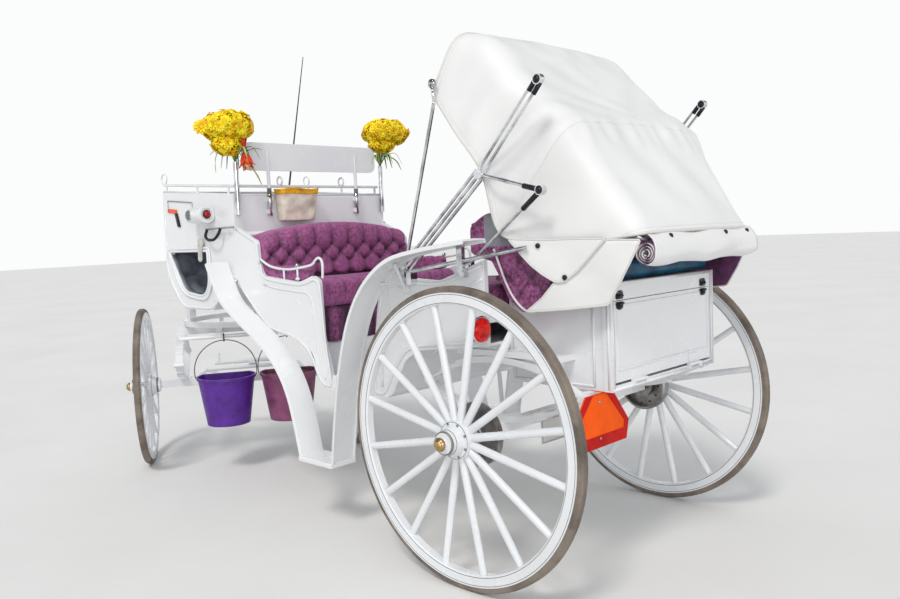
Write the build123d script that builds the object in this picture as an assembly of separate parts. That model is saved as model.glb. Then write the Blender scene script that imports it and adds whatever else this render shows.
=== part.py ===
# Open horse-drawn carriage with two facing seats, a raised driver's box and a half-raised hood.
# Millimetres. While it is built, x = 0 is the rear axle, y = 0 the middle plane and z = 0 the
# ground; +X points forward, +Y to the left, +Z up. FRAME_X and FRAME_Y then move the origin to the
# middle of the parked outline.
from build123d import *
import os
from math import asin, atan2, cos, degrees, hypot, sin

# Frame
FRAME_X = 2021.7            # origin ahead of the rear axle
FRAME_Y = -315.9            # origin left of the middle plane

# Running gear
WHEELBASE = 2640.0          # rear axle to kingpin
REAR_RADIUS = 610.0         # over the tyre
FRONT_RADIUS = 506.5
REAR_HALF_TRACK = 740.0     # middle plane of the wheel
FRONT_HALF_TRACK = 680.0
TYRE_WIDTH = 40.0
TYRE_DEPTH = 25.0
FELLOE_WIDTH = 44.0
FELLOE_DEPTH = 48.0
SPOKES = 16
SPOKE_ROOT = 17.0           # radius of a spoke at the hub
SPOKE_TIP = 15.0
HUB_RADIUS = 60.0
HUB_LENGTH = 190.0
SPINDLE_RADIUS = 22.0
SPINDLE_FIT = 0.06          # radial clearance of the hub on its spindle
AXLE_SQUARE = 46.0
STEER_REST = -32.35         # parked steering angle, degrees, negative to the right
STEER_LIMIT = 50.0          # either way from straight ahead
DRUM_RADIUS = 130.0
DRUM_WIDTH = 42.0
RUN_GAP = 6.0               # between turning and standing pieces

# Springs
REAR_SPRING_Y = 470.0
REAR_SPRING_HALF = 420.0
REAR_SPRING_TOP = 905.0
FRONT_SPRING_Y = 440.0
FRONT_SPRING_HALF = 370.0
LEAF_WIDTH = 46.0
LEAF_STACK = 26.0
LEAF_SHARES = (1.0, 0.78, 0.55)     # length of each leaf as a share of the main leaf

# Turntable and fore-carriage
RING_RADIUS = 400.0
RING_WIDTH = 40.0
RING_THICK = 16.0
RING_TOP = 925.0            # upper face of the fixed ring
RING_GAP = 0.4
PIN_FIT = 0.06              # radial clearance of a pin in its bore
KINGPIN_RADIUS = 16.0
BOLSTER_Z = 850.0           # middle of the bolster above the front springs
BOLSTER_SQUARE = 50.0
FUTCHELL_Y = 190.0
FUTCHELL_SQUARE = 34.0
TRACE_PIN_RADIUS = 12.0
TRACE_PIN_LENGTH = 50.0
BUCKET_BAR_X = -430.0
BUCKET_BAR_Z = 845.0

# Shafts
SHAFT_RADIUS = 19.0
SHAFT_LENGTH = 2250.0
SHAFT_HEEL_Y = 384.0
SHAFT_TIP_Y = 285.0
SHAFT_PIVOT_X = 95.0
SHAFT_PIN_RADIUS = 9.0
SHAFT_LIFT = 50.0           # degrees up from the ground
SHAFT_RISE = 190.0          # height of the straight part over the pivot when level
CROSSBAR_X = 560.0          # from the pivot along a level shaft
CROSSBAR_RISE = 150.0
CROSSBAR_Y = 340.0
TREE_HALF = 270.0           # half length of the singletree
TREE_RADIUS = 17.0

# Body
BODY_HALF = 550.0
PANEL = 22.0
SOFT_GAP = 0.5              # between upholstery and what it lies on
BOX_BACK = 1850.0
BOX_FRONT = 2650.0
BOX_FLOOR = 1030.0
DASH_TOP = 1750.0
BOX_BACK_TOP = 1685.0
WELL_FLOOR = 672.0
DOOR_REAR = 730.0
DOOR_FRONT = 1040.0
SEAT_DECK = 1050.0
REAR_SHELL_BACK = 0.0
TUB_INSET = 45.0            # rear seat's back inside the side panels' outer faces
TUB_WALL = 80.0
FRONT_BACK_CROWN = 1517.0
CROWN_RADIUS = 2100.0
TRUNK_HALF = 400.0
TRUNK_REAR = -500.0
TRUNK_BOTTOM = 790.0
TRUNK_TOP = 1210.0
LID_LINE = 1140.0
LID_GAP = 3.0
DOOR_SILL_GAP = 10.0
HINGE_Y = 220.0
HINGE_HALF = 38.0
HINGE_PIN = 5.0
HINGE_KNUCKLE = 8.0
HINGE_X = TRUNK_REAR - 9
HINGE_Z = TRUNK_BOTTOM + PANEL + 4
TRUNK_DOOR_OPEN = 90.0     # degrees

# Fenders
FENDER_INNER = BODY_HALF + 12
FENDER_WIDTH = 138.0
FENDER_SHEET = 8.0
FENDER_LIP = 18.0
STEP_Z = 350.0
STEP_IRON = 10.0
IRON_X = 925.0
HOLDER_X = 100.0            # bracket between the chrome rail and the rear strip
HOLDER_HALF = 15.0

# Hood
HOOD_SHEET = 7.0
HOOD_HALF = BODY_HALF + 50      # middle plane to the pivots
HOOD_PIVOT = (-55.0, HOOD_HALF, 1650.0)
HOOD_STUD = 12.0            # stud on each pivot that holds the bows
BOW_THICK = 14.0
CURTAIN_RADIUS = 46.0
CURTAIN_HALF = HOOD_HALF - 187
CURTAIN_X = -665.0
CURTAIN_Z = 1320.0
CURTAIN_CORE = 20.0

# Buckets
BUCKET_RIM = 180.0
BUCKET_BASE = 130.0
BUCKET_HEIGHT = 300.0
BUCKET_WALL = 4.0
BUCKET_RIM_Z = 600.0
BUCKET_Y = {"left": 158.0, "right": -225.0}
BUCKET_FLAT = 105.0         # middle of the bucket to its flat side
BUCKET_BAR_RADIUS = 12.0
LIP_DEPTH = 6.0
LIP_HEIGHT = 16.0
BAIL_WIRE = 3.0
HANG_RING = 24.0
HANG_WIRE = 4.0
HANG_GAP = 0.3
FLOOR_GAP = 0.5

# Rails and fittings
RAIL_Y = 250.0
RAIL_WIDTH = 50.0
RAIL_THICK = 24.0
VASE_RADIUS = 14.0
VASE_TOP = 1865.0
EMBLEM_Y = 420.0
BOARD_HALF = BODY_HALF - 70
BOARD_TOP = 1978.0


# Shape helpers

def outline(corners):
    """Closed face in x and z from corners (x, z, corner radius)."""
    face = make_face(Polyline(*[(x, z) for x, z, r in corners], close=True))
    for x, z, r in corners:
        if r:
            corner = face.vertices().sort_by_distance(Vector(x, z, 0))[0]
            face = fillet(corner, r)
    return face


def slab(face, y_low, y_high):
    """Solid between two y planes from a face drawn in x and z."""
    return Pos(0, y_high, 0) * extrude(Plane.XZ * face, y_high - y_low)


def block(x0, x1, y0, y1, z0, z1):
    size = Box(x1 - x0, y1 - y0, z1 - z0)
    return Pos((x0 + x1) / 2, (y0 + y1) / 2, (z0 + z1) / 2) * size


def rod(start, end, radius):
    """Round bar between two points."""
    start, end = Vector(*start), Vector(*end)
    body = Cylinder(radius, (end - start).length, align=(Align.CENTER, Align.CENTER, Align.MIN))
    return Plane(origin=start, z_dir=end - start) * body


def flat(start, end, width, thick, across=(0, 1, 0)):
    """Flat bar between two points, its width along across."""
    start, end = Vector(*start), Vector(*end)
    body = Box(width, thick, (end - start).length, align=(Align.CENTER, Align.CENTER, Align.MIN))
    return Plane(origin=start, x_dir=Vector(*across), z_dir=end - start) * body


def tube(points, radius, bend):
    """Round bar along a path with rounded bends."""
    path = FilletPolyline(*points, radius=bend)
    return sweep(Plane(origin=path @ 0, z_dir=path % 0) * Circle(radius), path=path)


def fuse(pieces):
    body = pieces[0]
    for piece in pieces[1:]:
        body = body + piece
    return body


def both(shape):
    """The shape and its mirror image across the middle plane."""
    return Compound(children=[*shape.solids(), *mirror(shape, about=Plane.XZ).solids()])


def turned(profile):
    """Solid of revolution about Y from (radius, y) corners."""
    face = make_face(Polyline(*profile, close=True))
    return revolve(face, Axis.Y)


# Wheels: local +Y points outwards, the hub's middle is the origin

def wheel(radius):
    """Felloe, tapered spokes and stepped hub, bored for the spindle."""
    rim = radius - TYRE_DEPTH
    inner = rim - FELLOE_DEPTH
    half = FELLOE_WIDTH / 2
    felloe = turned([(inner, -half + 6), (inner + 8, -half), (rim, -half), (rim, half),
                     (inner + 8, half), (inner, half - 6)])
    spoke_length = inner - HUB_RADIUS + 16
    spoke = Solid.make_cone(SPOKE_ROOT, SPOKE_TIP, spoke_length)
    spoke = Pos(0, 0, HUB_RADIUS - 10) * spoke
    spokes = [Rot(Y=360 / SPOKES * (i + 0.5)) * spoke for i in range(SPOKES)]
    back = -HUB_LENGTH * 0.45
    front = HUB_LENGTH * 0.55
    # hub profile, (radius, y) from the back to the cap
    flange = HUB_RADIUS + 18
    hub = turned([(0, back), (46, back), (50, back + 22), (flange, -30), (flange, 30), (HUB_RADIUS, 34),
                  (HUB_RADIUS - 8, 62), (HUB_RADIUS - 14, 64), (HUB_RADIUS - 18, front - 14),
                  (26, front - 12), (26, front), (18, front + 12), (0, front + 12)])
    body = fuse([felloe, hub] + spokes)
    return body - rod((0, back, 0), (0, front - 14, 0), SPINDLE_RADIUS + SPINDLE_FIT)


def tyre(radius):
    rim = radius - TYRE_DEPTH
    half = TYRE_WIDTH / 2
    return turned([(rim, -half), (radius - 7, -half), (radius, -half + 9), (radius, half - 9),
                   (radius - 7, half), (rim, half)])


def at_wheel(shape, x, y, z):
    """Places a wheel piece; a wheel on the right side is turned round to face outwards."""
    turn = Rot(Z=0) if y > 0 else Rot(Z=180)
    return Pos(x, y, z) * (turn * shape)


def brake_drum():
    """Ventilated disc behind a rear hub, turning with the wheel."""
    back = -HUB_LENGTH * 0.45
    bore = SPINDLE_RADIUS + 1
    disc = turned([(bore, back - DRUM_WIDTH), (DRUM_RADIUS - 8, back - DRUM_WIDTH),
                   (DRUM_RADIUS, back - DRUM_WIDTH + 8), (DRUM_RADIUS, back), (bore, back)])
    hollow = turned([(60, back - DRUM_WIDTH), (DRUM_RADIUS - 14, back - DRUM_WIDTH),
                     (DRUM_RADIUS - 14, back - 10), (60, back - 10)])
    return disc - hollow


# Axles and springs

def axle(half_track, radius, setback):
    """Square beam with a round spindle through each hub; setback leaves room for a brake."""
    back = HUB_LENGTH * 0.45
    front = HUB_LENGTH * 0.55
    inner = half_track - back - setback - RUN_GAP
    beam = block(-AXLE_SQUARE / 2, AXLE_SQUARE / 2, -inner, inner, radius - AXLE_SQUARE / 2,
                 radius + AXLE_SQUARE / 2)
    tip = half_track + front - 16
    return beam + rod((0, -tip, radius), (0, tip, radius), SPINDLE_RADIUS)


def spring_half(half_length, y, middle_z, end_z):
    """One bowed stack of leaves: the main leaf runs to the eyes, the others are shorter."""
    rise = end_z - middle_z
    radius = (half_length ** 2 + rise ** 2) / (2 * abs(rise))
    sign = 1 if rise > 0 else -1
    leaf = LEAF_STACK / 3
    spread = asin(half_length / radius)

    def at(distance, angle):
        return (distance * sin(angle), middle_z + sign * (radius - distance * cos(angle)))

    leaves = []
    for row, share in enumerate(LEAF_SHARES):
        near = radius + leaf * (row - 0.5)
        far = near + leaf
        reach = spread * share
        face = make_face([ThreePointArc(at(near, -reach), at(near, 0), at(near, reach)),
                          Line(at(near, reach), at(far, reach)),
                          ThreePointArc(at(far, reach), at(far, 0), at(far, -reach)),
                          Line(at(far, -reach), at(near, -reach))])
        leaves.append(slab(face, y - LEAF_WIDTH / 2, y + LEAF_WIDTH / 2))
    return fuse(leaves)


def elliptic_spring(x, y, half_length, low_z, high_z):
    """Two bowed stacks joined at their ends by pinned eyes, seated at low_z and high_z."""
    middle = (low_z + high_z) / 2
    leaf = LEAF_STACK / 3
    lower = spring_half(half_length, y, low_z + LEAF_STACK - leaf / 2, middle)
    upper = spring_half(half_length, y, high_z - LEAF_STACK + leaf / 2, middle)
    near, far = y - LEAF_WIDTH / 2 - 6, y + LEAF_WIDTH / 2 + 6
    eyes = [rod((s * half_length, near, middle), (s * half_length, far, middle), 15) for s in (-1, 1)]
    return Pos(x, 0, 0) * fuse([lower, upper] + eyes)


# Body shells

WINDOW = [(2600, 1378, 12), (2440, 1140, 90), (2215, 1116, 70), (2162, 1190, 40), (2160, 1374, 12)]


def driver_box():
    """High-sided box: two sides with a foot opening, floor, toe board, dash, seat and back wall."""
    top = [(BOX_FRONT, DASH_TOP, 14), (BOX_BACK, BOX_BACK_TOP, 14)]
    bottom = [(BOX_BACK, 1212, 0), (1948, 1212, 30), (2052, 1100, 50), (2140, BOX_FLOOR, 50),
              (2500, BOX_FLOOR, 60), (2672, 1240, 90)]
    outer = slab(outline(top + bottom), -BODY_HALF, BODY_HALF)
    floor = BOX_FLOOR + PANEL
    inside = [(BOX_FRONT - PANEL, 2400, 0), (BOX_BACK + PANEL, 2400, 0), (BOX_BACK + PANEL, 1234, 0),
              (1957, 1234, 30), (2061, 1123, 50), (2148, floor, 40), (2488, floor, 60), (2648, 1248, 70)]
    body = outer - slab(outline(inside), -BODY_HALF + PANEL, BODY_HALF - PANEL)
    inner = BODY_HALF - PANEL
    deck = block(BOX_BACK + PANEL, 2300, -inner, inner, 1420, 1420 + PANEL)
    riser = block(2120, 2120 + PANEL, -inner, inner, floor, 1420)
    opening = slab(outline(WINDOW), -BODY_HALF - 40, BODY_HALF + 40)
    rim = offset(outline(WINDOW), 30) - outline(WINDOW)
    rims = both(slab(rim, BODY_HALF, BODY_HALF + 7))
    body = body + deck + riser
    cut = opening - block(2000, 2700, -BODY_HALF + PANEL, BODY_HALF - PANEL, 1000, 1500)
    return fuse([body - cut] + rims.solids())


def front_seat_shell():
    """Sides, floor and risers of the rear-facing seat."""
    top = [(BOX_BACK, 1480, 0), (1640, 1318, 70), (1612, 1238, 50), (1270, 1206, 200), (1160, 1240, 30),
           (1110, 1215, 25), (1102, 930, 160)]
    bottom = [(DOOR_FRONT, 700, 0), (DOOR_FRONT, WELL_FLOOR, 0), (1128, WELL_FLOOR, 60),
              (1195, 850, 90), (1320, 918, 120), (1490, 926, 120), (1640, 990, 90), (BOX_BACK, 1186, 0)]
    outer = slab(outline(top + bottom), -BODY_HALF, BODY_HALF)
    floor = WELL_FLOOR + PANEL
    inside = [(BOX_BACK - PANEL, 2400, 0), (DOOR_FRONT - 200, 2400, 0), (DOOR_FRONT - 200, floor, 0),
              (1112, floor, 40), (1179, 868, 90), (1312, 940, 120), (1484, 948, 120),
              (1628, 1012, 90), (BOX_BACK - PANEL, 1196, 0)]
    inner = BODY_HALF - PANEL
    body = outer - slab(outline(inside), -inner, inner)
    riser = block(1240, 1240 + PANEL, -inner, inner, 885, SEAT_DECK)
    deck = block(1240, 1672, -inner, inner, SEAT_DECK, SEAT_DECK + PANEL)
    return fuse([body, riser, deck])


def entry_well():
    """Low floor between the seats with a rounded sill on each side."""
    floor = block(DOOR_REAR, DOOR_FRONT, -BODY_HALF, BODY_HALF, WELL_FLOOR, WELL_FLOOR + PANEL)
    sill = block(DOOR_REAR, DOOR_FRONT, BODY_HALF - PANEL, BODY_HALF, WELL_FLOOR, WELL_FLOOR + 72)
    sill = fillet(sill.edges().filter_by(Axis.X).sort_by(Axis.Z)[-2:], 10)
    return fuse([floor, sill, mirror(sill, about=Plane.XZ)])


REAR_SIDE_TOP = [(640, 1262, 24), (560, 1290, 60), (500, 1236, 90), (260, 1222, 200),
                 (REAR_SHELL_BACK, 1310, 0)]
REAR_SIDE_BOTTOM = [(REAR_SHELL_BACK, 955, 0), (230, 930, 200), (410, 912, 90), (500, 860, 90),
                    (590, 700, 60), (640, WELL_FLOOR, 30), (DOOR_REAR, WELL_FLOOR, 0),
                    (DOOR_REAR, 760, 0), (700, 960, 200)]


def rear_seat_shell():
    """Sides, floor and risers of the forward-facing seat, with an arched bottom line."""
    outer = slab(outline(REAR_SIDE_TOP + REAR_SIDE_BOTTOM), -BODY_HALF, BODY_HALF)
    inside = [(DOOR_REAR + 200, 2400, 0), (REAR_SHELL_BACK - 200, 2400, 0), (REAR_SHELL_BACK - 200, 978, 0),
              (232, 952, 200), (418, 934, 90), (512, 880, 90), (606, 716, 60), (650, WELL_FLOOR + PANEL, 30),
              (DOOR_REAR + 200, WELL_FLOOR + PANEL, 0)]
    inner = BODY_HALF - PANEL
    body = outer - slab(outline(inside), -inner, inner)
    riser = block(520, 520 + PANEL, -inner, inner, 868, SEAT_DECK)
    deck = block(REAR_SHELL_BACK, 520 + PANEL, -inner, inner, SEAT_DECK, SEAT_DECK + PANEL)
    return fuse([body, riser, deck])


def trunk_box():
    """Luggage box behind the rear seat, open at the back under the fixed top rail."""
    outer = block(TRUNK_REAR, REAR_SHELL_BACK, -TRUNK_HALF, TRUNK_HALF, TRUNK_BOTTOM, TRUNK_TOP)
    inner = block(TRUNK_REAR + PANEL, REAR_SHELL_BACK - PANEL, -TRUNK_HALF + PANEL, TRUNK_HALF - PANEL,
                  TRUNK_BOTTOM + PANEL, TRUNK_TOP - PANEL)
    door = block(TRUNK_REAR - 1, TRUNK_REAR + PANEL + 1, -TRUNK_HALF + PANEL, TRUNK_HALF - PANEL,
                 TRUNK_BOTTOM + PANEL, LID_LINE)
    lugs = []
    for y in (-HINGE_Y, HINGE_Y):
        for side in (-1, 1):
            near, far = sorted((y + side * (HINGE_HALF + 2), y + side * (HINGE_HALF + 12)))
            lugs.append(block(HINGE_X - HINGE_KNUCKLE, TRUNK_REAR + 4, near, far, TRUNK_BOTTOM + 10,
                              TRUNK_BOTTOM + PANEL))
            lugs.append(block(HINGE_X - HINGE_KNUCKLE, TRUNK_REAR - 0.5, near, far, TRUNK_BOTTOM + 10,
                              HINGE_Z + HINGE_PIN + 1))
        reach = HINGE_HALF + 6
        lugs.append(rod((HINGE_X, y - reach, HINGE_Z), (HINGE_X, y + reach, HINGE_Z), HINGE_PIN))
    post = block(TRUNK_REAR - 6, TRUNK_REAR + 34, TRUNK_HALF, TRUNK_HALF + 6, TRUNK_BOTTOM, TRUNK_TOP)
    return fuse([outer - inner - door, post, mirror(post, about=Plane.XZ)] + lugs)


def trunk_door():
    """Drop-down rear door with a knuckle on each hinge pin along its lower edge."""
    gap = LID_GAP
    door = block(TRUNK_REAR, TRUNK_REAR + PANEL - gap, -TRUNK_HALF + PANEL + gap, TRUNK_HALF - PANEL - gap,
                 TRUNK_BOTTOM + PANEL + DOOR_SILL_GAP, LID_LINE - gap)
    for y in (-HINGE_Y, HINGE_Y):
        low, high = (HINGE_X, y - HINGE_HALF, HINGE_Z), (HINGE_X, y + HINGE_HALF, HINGE_Z)
        leaf = block(TRUNK_REAR - 4, TRUNK_REAR, y - HINGE_HALF, y + HINGE_HALF, HINGE_Z, HINGE_Z + 44)
        door = door + leaf + rod(low, high, HINGE_KNUCKLE) - rod(low, high, HINGE_PIN + PIN_FIT)
    return door


# Fenders and steps

# outer fender line from the top of the front strip to the end of the rear strip, (x, z)
FRONT_STRIP = [(1925, 1315), (1800, 1105), (1400, 880), (1215, 690), (1132, STEP_Z)]
REAR_STRIP = [(900, STEP_Z), (820, 800), (700, 1120), (440, 1352), (-24, 1398)]


def fender_strip(points, bend):
    """Sheet strip with a lip along both edges, bent along a side line."""
    half = FENDER_WIDTH / 2
    path = FilletPolyline(*[(x, FENDER_INNER + half, z) for x, z in points], radius=bend)
    edge = half - 6
    section = Polyline((-half, 0), (-half, FENDER_LIP), (-edge, FENDER_LIP), (-edge, FENDER_SHEET),
                       (edge, FENDER_SHEET), (edge, FENDER_LIP), (half, FENDER_LIP), (half, 0), close=True)
    start = Plane(origin=path @ 0, x_dir=(0, 1, 0), z_dir=path % 0)
    return sweep(start * make_face(section), path=path)


# columns: x and z of each stay, both a little under the strip's top face
STAYS = [(1868, 1212), (1560, 958), (592, 1206)]


def fender():
    """Front strip, step plate and rear strip of one side with the irons that carry them."""
    step_outer = FENDER_INNER + FENDER_WIDTH + 10
    pieces = [fender_strip(FRONT_STRIP, 130), fender_strip(REAR_STRIP, 175)]
    pieces += [block(886, 1146, FENDER_INNER - 10, step_outer, STEP_Z - 20, STEP_Z + 4)]
    pieces += [rod((x, BODY_HALF, z), (x, FENDER_INNER + 30, z), 8) for x, z in STAYS]
    # long stay with a foot on the side panel, under the level end of the strip
    pieces += [block(454, 486, BODY_HALF, BODY_HALF + 8, 1170, 1202)]
    pieces += [rod((470, BODY_HALF + 8.5, 1186), (470, FENDER_INNER + 50, 1312), 8)]
    knee = (IRON_X, BODY_HALF + 10, WELL_FLOOR - STEP_IRON / 2)
    pieces += [block(IRON_X - 15, IRON_X + 15, BODY_HALF - 110, BODY_HALF + 14,
                     WELL_FLOOR - STEP_IRON, WELL_FLOOR)]
    pieces += [flat(knee, (IRON_X, FENDER_INNER + 30, STEP_Z - 4), 30, STEP_IRON, (1, 0, 0))]
    return fuse(pieces)


# Seats: plain closed solids of the upholstery

def front_seat_cushion():
    """Cushion of the rear-facing seat with a skirt hanging over the riser."""
    inner = BODY_HALF - PANEL - SOFT_GAP
    low = SEAT_DECK + PANEL + SOFT_GAP
    cushion = block(1180, 1598, -inner, inner, low, 1210)
    cushion = fillet(cushion.edges().filter_by(Axis.Y).sort_by(Axis.Z)[-2:], 45)
    skirt = block(1196, 1214, -inner, inner, 906, low)
    return cushion + skirt


def front_seat_back():
    """Slanted back with a rounded top and two side arms."""
    inner = BODY_HALF - PANEL - SOFT_GAP
    back = slab(outline([(1600, 1216, 30), (1634, 1082, 0), (1690, 1082, 0), (1822, 1246, 0),
                         (1822, 1520, 50), (1640, 1520, 60)]), -inner, inner)
    arch = Pos(1720, 0, FRONT_BACK_CROWN - CROWN_RADIUS) * (Rot(Y=90) * Cylinder(CROWN_RADIUS, 600))
    back = back & arch
    arm = block(1240, 1600 - SOFT_GAP, inner - 70, inner, 1212, 1290)
    arm = fillet(arm.edges().filter_by(Axis.X).sort_by(Axis.Z)[-2:], 25)
    return back, both(arm)


def rear_seat_cushion():
    """Cushion of the forward-facing seat with a skirt hanging over the riser."""
    inner = BODY_HALF - PANEL - SOFT_GAP
    low = SEAT_DECK + PANEL + SOFT_GAP
    cushion = block(40, 560, -inner, inner, low, 1205)
    cushion = fillet(cushion.edges().filter_by(Axis.Y).sort_by(Axis.Z)[-2:], 45)
    skirt = block(544, 558, -inner, inner, 870, low)
    return cushion + skirt


def rear_seat_back():
    """Tub-shaped back: a rounded U in plan round the seat, its rear wall above the luggage box."""
    half = BODY_HALF - TUB_INSET
    clear = half - TUB_WALL
    outer = make_face(Polyline((110, half), (-470, half), (-470, -half), (110, -half), close=True))
    outer = fillet(outer.vertices().group_by(Axis.X)[0], 200)
    inner = make_face(Polyline((310, clear), (-380, clear), (-380, -clear), (310, -clear), close=True))
    inner = fillet(inner.vertices().group_by(Axis.X)[0], 120)
    tub_wall = Pos(0, 0, 1095) * extrude(outer - inner, 410)
    wing = slab(outline([(-600, 1195, 0), (-190, 1095, 60), (-60, 1095, 0), (200, 1330, 0), (200, 1480, 0),
                         (70, 1505, 50), (-600, 1505, 0)]), -700, 700)
    low_room = block(-600, 300, -TRUNK_HALF - 12, TRUNK_HALF + 12, 1000, TRUNK_TOP + SOFT_GAP)
    return (tub_wall & wing) - low_room


# Turntable

def ring(z_low):
    face = Circle(RING_RADIUS + RING_WIDTH / 2) - Circle(RING_RADIUS - RING_WIDTH / 2)
    return Pos(0, 0, z_low) * extrude(face, RING_THICK)


def fore(shape):
    """Places a fore-carriage piece, drawn about the kingpin, at the parked steering angle."""
    return Pos(WHEELBASE, 0, 0) * (Rot(Z=STEER_REST) * shape)


def kingpin_plate():
    """Cross plate between the front rails with the kingpin hanging from it."""
    half = RAIL_Y - RAIL_WIDTH / 2
    plate = block(-40, 40, -half, half, BOX_FLOOR - RAIL_THICK, BOX_FLOOR)
    pin = rod((0, 0, BOLSTER_Z - BOLSTER_SQUARE / 2 - 14), (0, 0, BOX_FLOOR - RAIL_THICK), KINGPIN_RADIUS)
    return plate + pin


def upper_turntable():
    """Fixed ring hung from the front rails by four blocks."""
    rail_bottom = BOX_FLOOR - RAIL_THICK
    reach = (RING_RADIUS ** 2 - RAIL_Y ** 2) ** 0.5
    blocks = [block(x - 22, x + 22, y - 22, y + 22, RING_TOP - 2, rail_bottom)
              for x in (-reach, reach) for y in (-RAIL_Y, RAIL_Y)]
    return fuse([ring(RING_TOP - RING_THICK)] + blocks)


def lower_turntable():
    """Turning ring under the fixed one, on blocks over the bolster and the futchells."""
    top = RING_TOP - RING_THICK - RING_GAP
    bolster_top = BOLSTER_Z + BOLSTER_SQUARE / 2
    futchell_top = BOLSTER_Z + FUTCHELL_SQUARE / 2
    reach = (RING_RADIUS ** 2 - FUTCHELL_Y ** 2) ** 0.5
    under = top - RING_THICK + 1
    blocks = [block(-22, 22, y - 20, y + 20, bolster_top, under) for y in (-RING_RADIUS, RING_RADIUS)]
    blocks += [block(x - 16, x + 16, y - 14, y + 14, futchell_top, under)
               for x in (-reach, reach) for y in (-FUTCHELL_Y, FUTCHELL_Y)]
    return fuse([ring(top - RING_THICK)] + blocks)


def fore_frame():
    """Bolster bored for the kingpin, two futchells and the bar that the buckets hang from."""
    half = BOLSTER_SQUARE / 2
    end = FRONT_SPRING_Y + LEAF_WIDTH / 2
    bolster = block(-half, half, -end, end, BOLSTER_Z - half, BOLSTER_Z + half)
    boss = rod((0, 0, BOLSTER_Z - half), (0, 0, BOLSTER_Z + half), 45)
    side = FUTCHELL_SQUARE / 2
    reach = (RING_RADIUS ** 2 - FUTCHELL_Y ** 2) ** 0.5 + 30
    futchells = [block(BUCKET_BAR_X - 10, reach, s * FUTCHELL_Y - side, s * FUTCHELL_Y + side,
                       BOLSTER_Z - side, BOLSTER_Z + side) for s in (-1, 1)]
    bar = rod((BUCKET_BAR_X, -420, BUCKET_BAR_Z), (BUCKET_BAR_X, 420, BUCKET_BAR_Z), BUCKET_BAR_RADIUS)
    body = fuse([bolster, boss] + futchells + [bar])
    bore = Pos(0, 0, BOLSTER_Z) * Cylinder(KINGPIN_RADIUS + PIN_FIT, 4 * half)
    return body - bore


def front_axle():
    """Front beam with spindles and the shackles that take the shafts."""
    body = axle(FRONT_HALF_TRACK, FRONT_RADIUS, 0)
    ear_in = SHAFT_RADIUS + 1.0
    for side in (-1, 1):
        for ear in (-1, 1):
            y = side * SHAFT_HEEL_Y + ear * (ear_in + 4)
            body = body + block(AXLE_SQUARE / 2 - 1, SHAFT_PIVOT_X + 20, y - 4, y + 4, FRONT_RADIUS - 18,
                                FRONT_RADIUS + 18)
        pin_half = ear_in + 14
        body = body + rod((SHAFT_PIVOT_X, side * SHAFT_HEEL_Y - pin_half, FRONT_RADIUS),
                          (SHAFT_PIVOT_X, side * SHAFT_HEEL_Y + pin_half, FRONT_RADIUS), SHAFT_PIN_RADIUS)
    return body


def bucket():
    """Tapered bucket with a flat front side and a rolled rim, its rim's middle at the origin."""
    wall = BUCKET_WALL
    throat = BUCKET_RIM - LIP_DEPTH

    def side(cone, low, high, flat_x):
        reach = 2 * BUCKET_RIM
        return (Pos(0, 0, low) * cone) & block(-reach, flat_x, -reach, reach, low, high)
    outer = side(Solid.make_cone(BUCKET_BASE, throat, BUCKET_HEIGHT), -BUCKET_HEIGHT, 0, BUCKET_FLAT)
    lip = side(Solid.make_cylinder(BUCKET_RIM, LIP_HEIGHT), -LIP_HEIGHT, 0, BUCKET_FLAT + LIP_DEPTH)
    depth = BUCKET_HEIGHT - wall
    inner = side(Solid.make_cone(BUCKET_BASE - wall, throat - wall, depth), wall - BUCKET_HEIGHT, 0,
                 BUCKET_FLAT - wall)
    return fuse([outer, lip]) - inner


def bail():
    """Wire handle of a bucket with the ring that hangs it from the bar."""
    drop = BUCKET_BAR_Z - BUCKET_RIM_Z
    ring_middle = drop + BUCKET_BAR_RADIUS - HANG_RING + HANG_WIRE + HANG_GAP
    apex = ring_middle - HANG_RING + HANG_WIRE + BAIL_WIRE + HANG_GAP
    foot = BUCKET_RIM + BAIL_WIRE + HANG_GAP
    arc = ThreePointArc((0, -foot, -8), (0, 0, apex), (0, foot, -8))
    wire = sweep(Plane(origin=arc @ 0, z_dir=arc % 0) * Circle(BAIL_WIRE), path=arc)
    hang = Pos(0, 0, ring_middle) * (Rot(X=90) * Torus(HANG_RING, HANG_WIRE))
    return [wire, hang]


# Shafts: drawn level, with the pivot at the origin, then lowered until the tips rest on the ground

def shaft_drop():
    """Angle in degrees that brings the tips down to the ground."""
    reach = hypot(SHAFT_LENGTH, SHAFT_RISE)
    down = degrees(asin((FRONT_RADIUS - SHAFT_RADIUS - FLOOR_GAP) / reach))
    return down + degrees(atan2(SHAFT_RISE, SHAFT_LENGTH))


def shaft_pair():
    """Two bent shafts with eyes at the heels, joined by a crossbar."""
    pieces = []
    for s in (-1, 1):
        heel, tip = s * SHAFT_HEEL_Y, s * SHAFT_TIP_Y
        points = [(12, heel, 0), (210, heel, 12), (CROSSBAR_X, s * CROSSBAR_Y, CROSSBAR_RISE),
                  (920, tip, SHAFT_RISE), (SHAFT_LENGTH, tip, SHAFT_RISE)]
        pieces.append(tube(points, SHAFT_RADIUS, 150))
        pieces.append(Pos(SHAFT_LENGTH, tip, SHAFT_RISE) * Sphere(SHAFT_RADIUS))
        pieces.append(rod((0, heel - SHAFT_RADIUS, 0), (0, heel + SHAFT_RADIUS, 0), SHAFT_RADIUS + 3))
    pieces.append(rod((CROSSBAR_X, -CROSSBAR_Y, CROSSBAR_RISE), (CROSSBAR_X, CROSSBAR_Y, CROSSBAR_RISE), 16))
    body = fuse(pieces)
    bore = rod((0, -500, 0), (0, 500, 0), SHAFT_PIN_RADIUS + PIN_FIT)
    return body - bore


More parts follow.
